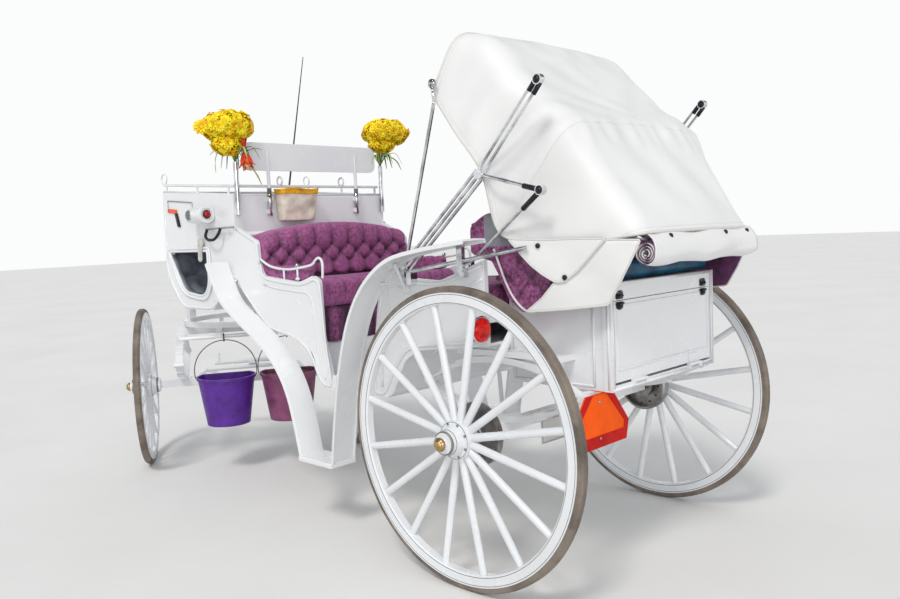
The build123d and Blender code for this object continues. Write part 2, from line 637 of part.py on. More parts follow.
def singletree():
    """Bar on the crossbar's middle with a pin at each end for a trace."""
    z = CROSSBAR_RISE + 16 + 12 + TREE_RADIUS
    bar = rod((CROSSBAR_X, -TREE_HALF, z), (CROSSBAR_X, TREE_HALF, z), TREE_RADIUS)
    seat = block(CROSSBAR_X - 20, CROSSBAR_X + 20, -24, 24, CROSSBAR_RISE + 16, z)
    pins = []
    for y in (25 - TREE_HALF, TREE_HALF - 25):
        collar = z + TREE_RADIUS + 3
        pins.append(rod((CROSSBAR_X, y, z), (CROSSBAR_X, y, collar), TREE_RADIUS + 3))
        pins.append(rod((CROSSBAR_X, y, z), (CROSSBAR_X, y, collar + TRACE_PIN_LENGTH), TRACE_PIN_RADIUS))
    return fuse([bar, seat] + pins)


def lowered(shape):
    """Turns a shaft piece down about its pivot, in the fore-carriage's own axes."""
    return Pos(SHAFT_PIVOT_X, 0, FRONT_RADIUS) * (Rot(Y=shaft_drop()) * shape)


# Frame under the body

def frame_rail():
    """Flat rail from the entry floor forward, bent up under the front seat and the box."""
    half = RAIL_THICK / 2
    low, high = WELL_FLOOR - half, BOX_FLOOR - half
    line = [(760, low), (1122, low), (1216, 836), (1336, 892), (1490, 906), (1866, 1040), (2056, 1042),
            (2150, high), (WHEELBASE + 340, high)]
    path = FilletPolyline(*[(x, RAIL_Y, z) for x, z in line], radius=60)
    section = Rectangle(RAIL_WIDTH, RAIL_THICK)
    start = Plane(origin=path @ 0, x_dir=(0, 1, 0), z_dir=path % 0)
    return sweep(start * section, path=path)


def rear_beams():
    """Side beams over the rear springs, bracketed to the luggage box."""
    half = LEAF_WIDTH / 2 - 3
    top = REAR_SPRING_TOP + 24
    beam = block(-330, 228, REAR_SPRING_Y - half, REAR_SPRING_Y + half, REAR_SPRING_TOP, top)
    brackets = [block(x, x + 40, TRUNK_HALF, REAR_SPRING_Y - half, REAR_SPRING_TOP, top)
                for x in (-330, -70)]
    return both(fuse([beam] + brackets))


# Driver's area

def seat_rail():
    """Round rail along both sides and across the back of the box, on short posts, with rein rings."""
    y, z_front, z_back = BODY_HALF - PANEL / 2, DASH_TOP + 42, BOX_BACK_TOP + 50
    rail = tube([(BOX_FRONT - 8, y, z_front), (BOX_BACK + 12, y, z_back), (BOX_BACK + 12, -y, z_back),
                 (BOX_FRONT - 8, -y, z_front)], 8, 40)
    posts = []
    for s in (-1, 1):
        # columns: x, height of the side panel there
        for x in (BOX_FRONT - 30, 2250, BOX_BACK + 60):
            share = (x - BOX_BACK) / (BOX_FRONT - BOX_BACK)
            low = BOX_BACK_TOP + share * (DASH_TOP - BOX_BACK_TOP) + 0.7
            high = z_back + share * (z_front - z_back)
            posts.append(rod((x, s * y, low), (x, s * y, high), 7))
    rings = [Pos(BOX_FRONT - 8, s * y, z_front + 36) * (Rot(X=90) * Torus(32, 5)) for s in (-1, 1)]
    rings += [Pos(BOX_BACK + 12, s * 0.42 * y, z_back + 30) * (Rot(X=90) * Torus(24, 5)) for s in (-1, 1)]
    return fuse([rail] + posts + rings)


def backrest():
    """Rounded board behind the driver on two posts fixed to the back wall."""
    x = BOX_BACK - 16
    board = make_face(Polyline((-BOARD_HALF, 1822), (BOARD_HALF, 1822), (BOARD_HALF, BOARD_TOP),
                               (-BOARD_HALF, BOARD_TOP), close=True))
    board = fillet(board.vertices(), 45)
    board = Pos(x - 6, 0, 0) * extrude(Plane.YZ * board, 22)
    posts = [rod((x, s * 320, 1565), (x, s * 320, 1930), 10) for s in (-1, 1)]
    clips = [block(x - 10, BOX_BACK, y - 14, y + 14, z - 12, z + 12)
             for y in (-320, 320) for z in (1590, 1660)]
    return fuse([board] + posts + clips)


def vases():
    """Chrome tube on each rear corner of the box, open at the top."""
    x, y = BOX_BACK - VASE_RADIUS - 2, BODY_HALF - 20
    body = rod((x, y, 1575), (x, y, VASE_TOP), VASE_RADIUS)
    body = body - rod((x, y, 1640), (x, y, VASE_TOP + 1), VASE_RADIUS - 3)
    clip = block(x, BOX_BACK, y - 9, y + 9, 1585, 1625)
    return both(body + clip)


def bouquets():
    """Round bunch of flowers standing in each vase."""
    x, y = BOX_BACK - VASE_RADIUS - 2, BODY_HALF - 20
    stem = rod((x, y, 1700), (x, y, 2000), VASE_RADIUS - 3.5)
    head = Pos(x, y + 15, 2045) * Sphere(150)
    head = head - block(x - 200, x + 200, 0, BOARD_HALF + 6, 1800, BOARD_TOP + 6)
    return both(fuse([head, stem]))


WHIP_FOOT = (2010, 118, 1420 + PANEL)
WHIP_TIP = (2000, -95, 2534)


def whip_line():
    return Plane(origin=WHIP_FOOT, z_dir=Vector(*WHIP_TIP) - Vector(*WHIP_FOOT))


def whip():
    """Slim stick standing in a socket on the driver's seat deck."""
    length = (Vector(*WHIP_TIP) - Vector(*WHIP_FOOT)).length
    return whip_line() * (Pos(0, 0, 12) * Solid.make_cone(7, 2.5, length - 12))


def whip_socket():
    """Short tube in line with the whip, cut flat where it stands on the deck."""
    outer = Pos(0, 0, -10) * Cylinder(12, 140, align=(Align.CENTER, Align.CENTER, Align.MIN))
    hole = Pos(0, 0, 8) * Cylinder(7.5, 140, align=(Align.CENTER, Align.CENTER, Align.MIN))
    x, y, z = WHIP_FOOT
    return whip_line() * (outer - hole) - block(x - 100, x + 100, y - 100, y + 100, z - 60, z)


def bag():
    """Open soft bag with a stiff rim, hung behind the back wall."""
    back = BOX_BACK - HANG_GAP

    def body(wall, low):
        lower = Plane.XY.offset(low) * Pos(back - 45, 125) * Rectangle(90 - 2 * wall, 240 - 2 * wall)
        upper = Plane.XY.offset(1712) * Pos(back - 52, 125) * Rectangle(104 - 2 * wall, 275 - 2 * wall)
        return loft([Sketch() + lower, Sketch() + upper])
    shell = body(0, 1530) - body(4, 1534)
    return shell


def driver_seat():
    """Padded seat on the box's deck."""
    inner = BODY_HALF - PANEL - SOFT_GAP
    seat = block(BOX_BACK + PANEL + SOFT_GAP, 2290, -inner, inner, 1420 + PANEL + SOFT_GAP, 1520)
    seat = fillet(seat.edges().filter_by(Axis.Y).sort_by(Axis.Z)[-2:], 30)
    return seat - whip_line() * Cylinder(16, 400)


def side_fittings():
    """Bullet lamps, foot lever, grab handles and rein hook on the sides of the box."""
    y = BODY_HALF
    lamp = Pos(2090, y + 46, 1590) * (Rot(Y=90) * Cylinder(40, 110))
    lamp = lamp + Pos(2145, y + 46, 1590) * Sphere(40)
    arm = block(2070, 2110, y, y + 12, 1570, 1610)
    plate = block(2240, 2300, y, y + 8, 1555, 1625)
    lever = flat((2160, y + 12, 1440), (2150, y + 12, 1290), 16, 6, (1, 0, 0))
    lever = lever + block(2150, 2170, y, y + 14, 1425, 1445)
    handle = tube([(2040, y, 1470), (2040, y + 45, 1470), (1960, y + 45, 1470), (1960, y, 1470)], 6, 16)
    hook = block(2470, 2482, y, y + 8, 1580, 1690) + block(2470, 2520, y, y + 30, 1690, 1702)
    pieces = [lamp + arm, plate, lever, handle, hook]
    return Compound(children=[solid for piece in pieces for solid in both(piece).solids()])


# Rails and lamps of the passenger body

def arm_rails():
    """White rail from the front seat's arm, looped at its free end, on a post each side."""
    y = BODY_HALF - PANEL / 2
    rail = tube([(1640, y, 1330), (1530, y, 1279), (1350, y, 1258), (1150, y, 1268), (1088, y, 1300),
                 (1100, y, 1345), (1160, y, 1312)], 6, 20)
    posts = [rod((1420, y, 1200), (1420, y, 1264), 6), rod((1180, y, 1225), (1180, y, 1266), 6)]
    return fuse([rail] + posts)


def rear_rails():
    """Chrome rail beside the rear seat, its middle bracket also carrying the fender."""
    y = BODY_HALF + 30
    chrome = rod((420, y, 1262), (-250, y, 1357), 9)
    (x0, z0), (x1, z1) = REAR_STRIP[-2:]
    slope = (z1 - z0) / (x1 - x0)
    under = z1 - FENDER_SHEET * hypot(1, slope) - 0.3
    low, high = HOLDER_X - HOLDER_HALF, HOLDER_X + HOLDER_HALF
    side = [(low, 1262, 0), (high, 1262, 0), (high, under + slope * (high - x1), 0),
            (low, under + slope * (low - x1), 0)]
    holder = slab(outline(side), y - 10, y + 10)
    foot = block(low, high, BODY_HALF, y, 1240, 1275)
    front_foot = block(395, 425, BODY_HALF, y + 10, 1205, 1275)
    return both(fuse([chrome, holder, foot, front_foot]))


def tail_lamps():
    """Round lamp on a bracket outside each rear corner of the seat."""
    y = BODY_HALF + 50
    lamp = Pos(5, y, 1030) * (Rot(Y=90) * Cylinder(46, 60))
    arm = block(2, 30, BODY_HALF, y - 30, 1020, 1040)
    return both(lamp + arm)


def emblem():
    """Slow-vehicle sign under the box: a truncated triangle, its top bent under the floor."""
    y, top = EMBLEM_Y, TRUNK_BOTTOM - 4
    corners = [(y - 178, 575), (y + 178, 575), (y + 198, 650), (y + 90, top), (y - 90, top), (y - 198, 650)]
    face = make_face(Polyline(*corners, close=True))
    plate = Pos(-452, 0, 0) * extrude(Plane.YZ * face, 4)
    lip = block(-452, -400, y - 90, TRUNK_HALF, top, TRUNK_BOTTOM)
    return plate + lip


def number_plate():
    """Blank plate on a bracket behind the rear axle."""
    rear = -AXLE_SQUARE / 2
    return block(rear - 22, rear - 18, 60, 270, 492, 602) + block(rear - 20, rear, 150, 180, 590, 620)


# Hood

# hood stations from the front bow to the rear edge: low (x, inside the pivots, z), high the same
HOOD_STATIONS = [((220, 25, 2000), (62, 130, 2232)),
                 ((90, 10, 1835), (-80, 120, 2112)),
                 ((-50, 4, 1660), (-240, 110, 1972)),
                 ((-90, 44, 1430), (-400, 100, 1832)),
                 ((-225, 59, 1368), (-492, 120, 1690)),
                 ((-375, 85, 1260), (-590, 150, 1530)),
                 ((-540, 135, 1372), (-665, 185, 1392))]


def hood_section(station, inset):
    """Corners of one half of a station's arch, moved inwards by inset."""
    (xl, in_low, zl), (xh, in_high, zh) = station
    yl, yh = HOOD_HALF - in_low, HOOD_HALF - in_high
    span = hypot(xh - xl, zh - zl)
    ux, uz = (xh - xl) / span, (zh - zl) / span
    corner = min(60, span * 0.4)

    def at(y, rise):
        return (xl + ux * rise, y, zl + uz * rise)
    side = yh + (yl - yh) * corner / span
    return [at(yl - inset, 0), at(side - inset, span - corner),
            at(yh - corner * 0.6 - inset * 0.4, span - inset)]


def hood_cover():
    """Cloth shell over the bows: arches lofted from the front bow to the rear edge."""
    faces = []
    for station in HOOD_STATIONS:
        outer = hood_section(station, 0)
        inner = hood_section(station, HOOD_SHEET)
        half = outer + [(x, -y, z) for x, y, z in reversed(outer)]
        back = inner + [(x, -y, z) for x, y, z in reversed(inner)]
        faces.append(make_face(Polyline(*(half + back[::-1]), close=True)))
    cover = loft(faces, ruled=True)
    x, y, z = HOOD_PIVOT
    return cover - rod((x, -y - 60, z), (x, y + 60, z), HOOD_STUD + 6)


def hood_bow(top, elbow, inset):
    """Hoop from the pivots up and across; its points are given inside the pivots."""
    px, py, pz = HOOD_PIVOT
    tx, ty, tz = top[0], HOOD_HALF - top[1], top[2]
    ex, ey, ez = elbow[0], HOOD_HALF - elbow[1], elbow[2]
    y0 = py - inset
    points = [(px, y0, pz), (ex, ey, ez), (tx, ty, tz), (tx, -ty, tz), (ex, -ey, ez), (px, -y0, pz)]
    return tube(points, BOW_THICK / 2, 60)


def hood_bows():
    """Three hoops that spread the cover, from the pivots on each side."""
    # columns: top corner and elbow, each (x, inside the pivots, z)
    rows = [((62, 148, 2205), (205, 50, 1975)),
            ((-385, 128, 1800), (-200, 78, 1735)),
            ((-650, 200, 1371.2), (-300, 97, 1560))]
    return [hood_bow(top, elbow, 24) for top, elbow in rows]


def hood_irons():
    """Jointed irons from the top of the side panel to the pivot and to two knees on the cover."""
    low_y, high_y = BODY_HALF - PANEL - 8, HOOD_PIVOT[1] + 16
    foot, heel = (504, low_y, 1268), (109, low_y, 1290)
    pivot = (HOOD_PIVOT[0], high_y, HOOD_PIVOT[2])
    knee_high, knee_low = (-363, high_y, 1970), (-356, high_y, 1570)
    strut_foot, strut_top = (463, low_y + 6, 1379), (180, high_y, 1955)

    def link(start, end, shift, radius):
        beside = Vector(shift, 0, shift)
        return rod(Vector(*start) + beside, Vector(*end) + beside, radius)
    pieces = [link(foot, pivot, shift, 7) for shift in (-16, 0, 16)]
    pieces.append(rod(foot, strut_foot, 8))
    pieces.append(rod(strut_foot, strut_top, 8))
    pieces += [link(pivot, knee_high, shift, 6) for shift in (-10, 10)]
    pieces.append(rod(pivot, knee_low, 7))
    pieces.append(rod(knee_low, heel, 7))
    x, y, z = pivot
    pieces.append(rod((x, HOOD_PIVOT[1] - 34, z), (x, y, z), HOOD_STUD))
    for x, y, z in (foot, pivot, knee_high, knee_low, heel):
        pieces.append(rod((x, y - 12, z), (x, y + 12, z), 20))
    for x, y, z in (foot, heel):
        pieces.append(block(x - 18, x + 18, BODY_HALF - PANEL, BODY_HALF - 6, z - 50, z))
    body = fuse(pieces)
    side = slab(outline(REAR_SIDE_TOP + REAR_SIDE_BOTTOM), BODY_HALF - PANEL, BODY_HALF)
    return body - side


def curtain():
    """Rolled rear curtain under the hood's lower edge."""
    x, y, z = CURTAIN_X, CURTAIN_HALF, CURTAIN_Z
    roll = rod((x, -y, z), (x, y, z), CURTAIN_RADIUS)
    core = rod((x, -y - 1, z), (x, y + 1, z), CURTAIN_CORE)
    return roll - core


def hood_flaps():
    """Loose cloth flap below the cover on each side."""
    face = make_face(Polyline((0, 0), (-145, -155), (-25, -260), (-420, -205), (-470, -8), close=True))
    flap = slab(face, -2.5, 2.5)
    return both(Pos(-212, HOOD_HALF - 41.4, 1362) * (Rot(Z=14) * flap))


# Nodes of the parked carriage

def place_wheels(nodes):
    """Wheels, tyres and rear brake drums."""
    # columns: name, half track, radius, side
    rows = [("rear_left", REAR_HALF_TRACK, REAR_RADIUS, 1),
            ("rear_right", REAR_HALF_TRACK, REAR_RADIUS, -1),
            ("front_left", FRONT_HALF_TRACK, FRONT_RADIUS, 1),
            ("front_right", FRONT_HALF_TRACK, FRONT_RADIUS, -1)]
    for name, half_track, radius, side in rows:
        kinds = [("wheel", wheel(radius)), ("tyre", tyre(radius))]
        if name.startswith("rear"):
            kinds.append(("brake", brake_drum()))
        for kind, shape in kinds:
            placed = at_wheel(shape, 0, side * half_track, radius)
            nodes[f"{kind}_{name}"] = fore(placed) if name.startswith("front") else placed


def group(pieces):
    return Compound(children=[solid for piece in pieces for solid in piece.solids()])


nodes = {}
place_wheels(nodes)
nodes["rear_axle"] = axle(REAR_HALF_TRACK, REAR_RADIUS, DRUM_WIDTH)
seat_low = REAR_RADIUS + AXLE_SQUARE / 2
nodes["rear_springs"] = both(elliptic_spring(0, REAR_SPRING_Y, REAR_SPRING_HALF, seat_low, REAR_SPRING_TOP))
nodes["rear_beams"] = rear_beams()
nodes["driver_box"] = driver_box()
nodes["front_seat_shell"] = front_seat_shell()
nodes["frame_rails"] = both(frame_rail() - nodes["driver_box"] - nodes["front_seat_shell"])
nodes["entry_well"] = entry_well()
nodes["rear_seat_shell"] = rear_seat_shell()
nodes["trunk_box"] = trunk_box()
nodes["trunk_door"] = trunk_door()
nodes["fender_left"] = fender()
nodes["fender_right"] = mirror(fender(), about=Plane.XZ)
nodes["front_seat_cushion"] = front_seat_cushion()
back, arms = front_seat_back()
nodes["front_seat_back"] = back
nodes["front_seat_arms"] = arms
nodes["rear_seat_cushion"] = rear_seat_cushion()
nodes["rear_seat_back"] = rear_seat_back()
nodes["driver_seat"] = driver_seat()
nodes["seat_rail"] = seat_rail()
nodes["backrest_board"] = backrest()
nodes["vases"] = vases()
nodes["bouquets"] = bouquets()
nodes["whip"] = whip()
nodes["whip_socket"] = whip_socket()
nodes["bag"] = bag()
nodes["side_fittings"] = side_fittings()
nodes["arm_rails"] = both(arm_rails() - nodes["front_seat_shell"])
nodes["rear_rails"] = rear_rails()
nodes["tail_lamps"] = tail_lamps()
nodes["emblem"] = emblem()
nodes["number_plate"] = number_plate()
nodes["hood_cover"] = hood_cover()
nodes["hood_bows"] = group(hood_bows())
nodes["hood_irons_left"] = hood_irons()
nodes["hood_irons_right"] = mirror(hood_irons(), about=Plane.XZ)
nodes["curtain_roll"] = curtain()
nodes["hood_flaps"] = hood_flaps()
nodes["kingpin_plate"] = Pos(WHEELBASE, 0, 0) * kingpin_plate()
nodes["upper_turntable"] = Pos(WHEELBASE, 0, 0) * upper_turntable()

nodes["lower_turntable"] = fore(lower_turntable())
nodes["fore_frame"] = fore(fore_frame())
nodes["front_axle"] = fore(front_axle())
front_low = FRONT_RADIUS + AXLE_SQUARE / 2
front_high = BOLSTER_Z - BOLSTER_SQUARE / 2
front_spring = elliptic_spring(0, FRONT_SPRING_Y, FRONT_SPRING_HALF, front_low, front_high)
nodes["front_spring_left"] = fore(front_spring)
nodes["front_spring_right"] = fore(mirror(front_spring, about=Plane.XZ))
for name, y in BUCKET_Y.items():
    nodes[f"bucket_{name}"] = fore(Pos(BUCKET_BAR_X, y, BUCKET_RIM_Z) * bucket())
nodes["bucket_bails"] = fore(group([Pos(BUCKET_BAR_X, y, BUCKET_RIM_Z) * piece for y in BUCKET_Y.values()
                                    for piece in bail()]))
nodes["shafts"] = fore(lowered(shaft_pair()))
nodes["singletree"] = fore(lowered(singletree()))

os.makedirs("parts", exist_ok=True)
for name, shape in nodes.items():
    export_step(Pos(-FRAME_X, -FRAME_Y, 0) * shape, f"parts/{name}.step")
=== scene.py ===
from math import atan2, cos, pi, radians, sin

import bmesh
import bpy
from mathutils import Matrix, Vector, noise


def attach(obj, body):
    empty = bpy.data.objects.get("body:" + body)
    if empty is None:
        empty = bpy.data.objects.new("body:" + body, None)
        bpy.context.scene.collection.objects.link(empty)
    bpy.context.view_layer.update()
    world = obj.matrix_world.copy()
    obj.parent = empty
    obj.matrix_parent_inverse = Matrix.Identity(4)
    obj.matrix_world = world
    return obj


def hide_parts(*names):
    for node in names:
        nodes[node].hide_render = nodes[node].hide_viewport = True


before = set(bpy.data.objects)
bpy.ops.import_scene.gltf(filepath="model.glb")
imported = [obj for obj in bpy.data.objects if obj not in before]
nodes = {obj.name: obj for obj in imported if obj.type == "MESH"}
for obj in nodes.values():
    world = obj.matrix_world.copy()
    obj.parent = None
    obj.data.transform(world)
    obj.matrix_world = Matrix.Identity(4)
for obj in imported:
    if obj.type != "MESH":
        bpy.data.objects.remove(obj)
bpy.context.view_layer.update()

# Floor, backdrop, lamps and camera
# A pale level floor under a white sky. A broad sun and the sky light the carriage softly
# from above its left rear corner, and the camera stands there too, at the height of a person.

SCENE = bpy.context.scene
SCENE.view_settings.view_transform = "Standard"

# The rear axle's middle on the ground, in the frame's own axes: pieces are drawn from there
REAR_AXLE = Vector((-2.0217, 0.3159, 0.0))

# strength, tint, and tones from the horizon, at 0, to overhead, at 1: first the sky as it lights, then as the
# camera, bare metal and glass see it, white to well above the view with a dim ceiling overhead
SKY_LIGHT = (0.66, (0.91, 0.95, 1.0), ((0, 0.75), (0.16, 0.45), (0.34, 0.85), (1, 1.05)))
SKY_SEEN = (1.0, (0.97, 0.975, 0.98), ((0, 1.0), (0.32, 1.0), (0.42, 0.30), (0.70, 0.16), (1, 0.40)))


def new_node(tree, kind, inputs=None, **settings):
    """A node with its settings, its inputs given as values or as the outputs that feed them."""
    made = tree.nodes.new(kind)
    for name, value in settings.items():
        setattr(made, name, value)
    for socket, value in (inputs or {}).items():
        if isinstance(value, bpy.types.NodeSocket):
            tree.links.new(value, made.inputs[socket])
        else:
            made.inputs[socket].default_value = value
    return made


def world_light():
    world = bpy.data.worlds.new("sky")
    SCENE.world = world
    world.use_nodes = True
    tree = world.node_tree
    tree.nodes.clear()
    where = new_node(tree, "ShaderNodeTexCoord")
    split = new_node(tree, "ShaderNodeSeparateXYZ", {0: where.outputs["Generated"]})

    def background(strength, tint, tones):
        ramp = new_node(tree, "ShaderNodeValToRGB", {"Fac": split.outputs[2]})
        stops = ramp.color_ramp.elements
        for place, tone in tones:
            stop = stops.new(place) if 0 < place < 1 else stops[-int(place)]
            stop.color = (*(c * tone for c in tint), 1)
        sky = new_node(tree, "ShaderNodeBackground", {"Color": ramp.outputs["Color"], "Strength": strength})
        return sky.outputs[0]

    path = new_node(tree, "ShaderNodeLightPath")
    kind = path.outputs["Is Camera Ray"]
    for ray in ("Is Glossy Ray", "Is Transmission Ray"):
        kind = new_node(tree, "ShaderNodeMath", {0: kind, 1: path.outputs[ray]},
                        operation="MAXIMUM").outputs[0]
    mix = new_node(tree, "ShaderNodeMixShader",
                   {0: kind, 1: background(*SKY_LIGHT), 2: background(*SKY_SEEN)})
    new_node(tree, "ShaderNodeOutputWorld", {"Surface": mix.outputs[0]})


def sun(name, direction, strength, angle, colour):
    lamp = bpy.data.lights.new(name, "SUN")
    lamp.energy = strength
    lamp.angle = radians(angle)
    lamp.color = colour
    obj = bpy.data.objects.new(name, lamp)
    obj.rotation_euler = Vector(direction).to_track_quat("-Z", "Y").to_euler()
    SCENE.collection.objects.link(obj)


def camera(place, yaw, pitch, roll, lens):
    yaw, pitch, roll = radians(yaw), radians(pitch), radians(roll)
    data = bpy.data.cameras.new("camera")
    data.lens = lens
    data.sensor_width = 36
    data.clip_end = 200
    ahead = Vector((cos(yaw) * cos(pitch), sin(yaw) * cos(pitch), sin(pitch)))
    right = Vector((sin(yaw), -cos(yaw), 0))
    up = right.cross(ahead)
    across = right * cos(roll) + up * sin(roll)
    upright = up * cos(roll) - right * sin(roll)
    obj = bpy.data.objects.new("camera", data)
    turn = Matrix((across, upright, -ahead)).transposed().to_4x4()
    obj.matrix_world = Matrix.Translation(place) @ turn
    SCENE.collection.objects.link(obj)
    SCENE.camera = obj


world_light()
sun("sun", (0.30, -0.70, -0.95), 1.36, 14, (1.0, 0.975, 0.94))
sun("fill", (0.90, -0.52, -0.22), 1.04, 40, (0.98, 0.98, 1.0))
camera(REAR_AXLE + Vector((-2.30207, 3.10634, 1.43566)), yaw=-45.603, pitch=-4.664, roll=-2.555, lens=33.86)


def surface(name, colour, rough=0.4, metal=0.0, coat=0.0, sheen=0.0, mottle=(3.0, 0.06), grain=(220.0, 0.08),
            dark=None, specular=0.5):
    """A finish on object coordinates: slow colour change, fine relief, and darker patches, dull or dirty on
    most finishes but painted reflections on chrome.
    """
    mat = bpy.data.materials.new(name)
    mat.use_nodes = True
    tree = mat.node_tree
    shader = tree.nodes["Principled BSDF"].inputs
    plain = {"Metallic": metal, "Specular IOR Level": specular}
    if coat:
        plain.update({"Coat Weight": coat, "Coat Roughness": 0.12})
    if sheen:
        plain.update({"Sheen Weight": sheen, "Sheen Roughness": 0.35})
    for socket, value in plain.items():
        shader[socket].default_value = value
    where = new_node(tree, "ShaderNodeTexCoord")

    def clouds(scale, detail, soft=0.5):
        return new_node(tree, "ShaderNodeTexNoise", {"Vector": where.outputs["Object"], "Scale": scale,
                                                     "Detail": detail, "Roughness": soft}).outputs["Fac"]
    ramp = new_node(tree, "ShaderNodeValToRGB", {"Fac": clouds(mottle[0], 6, 0.6)})
    low = dark or tuple(c * (1 - mottle[1] * 2.2) for c in colour)
    high = tuple(min(1.0, c * (1 + mottle[1])) for c in colour)
    for stop, place, tone in ((0, 0.32, low), (1, 0.62, high)):
        ramp.color_ramp.elements[stop].position = place
        ramp.color_ramp.elements[stop].color = (*tone, 1)
    tree.links.new(ramp.outputs["Color"], shader["Base Color"])
    span = new_node(tree, "ShaderNodeMapRange", {
        "Value": clouds(mottle[0] * 4.3, 5), "From Min": 0.3, "From Max": 0.7,
        "To Min": max(0.02, rough * 0.75), "To Max": min(1.0, rough * 1.25)})
    tree.links.new(span.outputs["Result"], shader["Roughness"])
    if grain[1]:
        bump = new_node(tree, "ShaderNodeBump", {"Height": clouds(grain[0], 4), "Strength": grain[1],
                                                 "Distance": 0.002})
        tree.links.new(bump.outputs["Normal"], shader["Normal"])
    return mat


floor_mesh = bpy.data.meshes.new("floor")
floor_mesh.from_pydata([(-60, -60, 0), (60, -60, 0), (60, 60, 0), (-60, 60, 0)], [], [(0, 1, 2, 3)])
floor = bpy.data.objects.new("floor", floor_mesh)
SCENE.collection.objects.link(floor)
floor_mesh.materials.append(surface("pale_ground", (0.80, 0.79, 0.77), rough=0.9, mottle=(0.6, 0.015),
                                    grain=(90.0, 0.05)))

# Painted body, frame and running gear
# Plywood and steel panels, beams and springs under a smooth white coach enamel, sprayed in several
# coats. Every node starts in it, and the sections below give the others their own finish.


def dress(material, *names):
    """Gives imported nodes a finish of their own."""
    for name in names:
        mesh = nodes[name].data
        mesh.materials.clear()
        mesh.materials.append(material)


white_paint = surface("white_enamel", (0.80, 0.81, 0.82), rough=0.24, coat=0.35, mottle=(1.4, 0.018),
                      grain=(45.0, 0.012))
dress(white_paint, *nodes)

# Wheels
# Ash spokes and felloes under white enamel with a thin grey line struck round each rim and hub, solid
# rubber tyres pressed on, a brass cap nut on each hub and a ventilated disc behind each rear wheel.

FORE_TURN = radians(-32.35)
KINGPIN = Vector((2.64, 0, 0))
SIDES = ((1, "left"), (-1, "right"))


def piece(name, verts, faces, material, body="carriage", smooth=True, slot="white_paint", folds=None):
    """A closed or sheet-like mesh drawn in metres about the rear axle's middle."""
    mesh = bpy.data.meshes.new(name)
    mesh.from_pydata([Vector(v) + REAR_AXLE for v in verts], [], faces)
    mesh.materials.append(material)
    # folds: painted shade for each point, kept in the attribute "fold"
    if folds:
        depth = mesh.attributes.new("fold", "FLOAT", "POINT")
        depth.data.foreach_set("value", folds)
    work = bmesh.new()
    work.from_mesh(mesh)
    bmesh.ops.remove_doubles(work, verts=work.verts, dist=1e-6)
    bmesh.ops.recalc_face_normals(work, faces=work.faces)
    work.to_mesh(mesh)
    work.free()
    mesh.polygons.foreach_set("use_smooth", [smooth] * len(mesh.polygons))
    obj = bpy.data.objects.new(name, mesh)
    SCENE.collection.objects.link(obj)
    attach(obj, body)
    return obj


def quads(rows, columns, ring=True, loop=False):
    """Faces between rows of points: ring closes each row, and loop joins the last row to the first."""
    return [(i * columns + k, i * columns + (k + 1) % columns,
             (i + 1) % rows * columns + (k + 1) % columns, (i + 1) % rows * columns + k)
            for i in range(rows if loop else rows - 1) for k in range(columns if ring else columns - 1)]


def turned(profile, place, axis, sides=24):
    """Solid of revolution from (radius, height) pairs along an axis."""
    axis = Vector(axis).normalized()
    first = axis.orthogonal().normalized()
    second = axis.cross(first)
    place = Vector(place)
    verts = []
    for radius, height in profile:
        for k in range(sides):
            angle = 2 * pi * k / sides
            outward = first * cos(angle) + second * sin(angle)
            verts.append(place + axis * height + outward * max(radius, 1e-5))
    ends = [tuple(range(sides))[::-1], tuple((len(profile) - 1) * sides + k for k in range(sides))]
    return verts, quads(len(profile), sides) + ends


def growth(name, sockets):
    """Empty Geometry Nodes tree with named inputs, the outputs of its group input, and its group output."""
    tree = bpy.data.node_groups.new(name, "GeometryNodeTree")
    tree.interface.new_socket("Geometry", in_out="INPUT", socket_type="NodeSocketGeometry")
    for label, kind in sockets:
        tree.interface.new_socket(label, in_out="INPUT", socket_type=kind)
    tree.interface.new_socket("Geometry", in_out="OUTPUT", socket_type="NodeSocketGeometry")
    return tree, tree.nodes.new("NodeGroupInput").outputs, tree.nodes.new("NodeGroupOutput")


def aligned(tree, facing=None):
    """Rotation that turns Z to a vector, or else to each point's own facing."""
    if facing is None:
        facing = new_node(tree, "GeometryNodeInputNamedAttribute", {"Name": "facing"},
                          data_type="FLOAT_VECTOR").outputs[0]
    return new_node(tree, "FunctionNodeAlignRotationToVector", {"Vector": facing},
                    axis="Z").outputs["Rotation"]


def made_real(tree, shapes, finish, result):
    """Ends a tree: its instances made real, in one finish."""
    real = new_node(tree, "GeometryNodeRealizeInstances", {"Geometry": shapes})
    paint = new_node(tree, "GeometryNodeSetMaterial", {"Geometry": real.outputs[0], "Material": finish})
    tree.links.new(paint.outputs[0], result.inputs["Geometry"])
    return tree


def grown(name, tree, points, body, slot, facing=None, **values):
    """Runs a tree on bare points, or on a chain of edges where no facing is given, as one plain mesh."""
    mesh = bpy.data.meshes.new(name)
    edges = [] if facing else [(i, i + 1) for i in range(len(points) - 1)]
    mesh.from_pydata([Vector(p) + REAR_AXLE for p in points], edges, [])
    if facing:
        data = mesh.attributes.new("facing", "FLOAT_VECTOR", "POINT")
        data.data.foreach_set("vector", [c for f in facing for c in Vector(f).normalized()])
    mesh.materials.append(values["Finish"])
    obj = bpy.data.objects.new(name, mesh)
    SCENE.collection.objects.link(obj)
    mod = obj.modifiers.new("growth", "NODES")
    mod.node_group = tree
    for item in tree.interface.items_tree:
        if item.in_out == "INPUT" and item.name in values:
            mod[item.identifier] = values[item.name]
    seen = obj.evaluated_get(bpy.context.evaluated_depsgraph_get())
    mesh = bpy.data.meshes.new_from_object(seen)
    obj.modifiers.clear()
    obj.data = mesh
    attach(obj, body)
    return obj


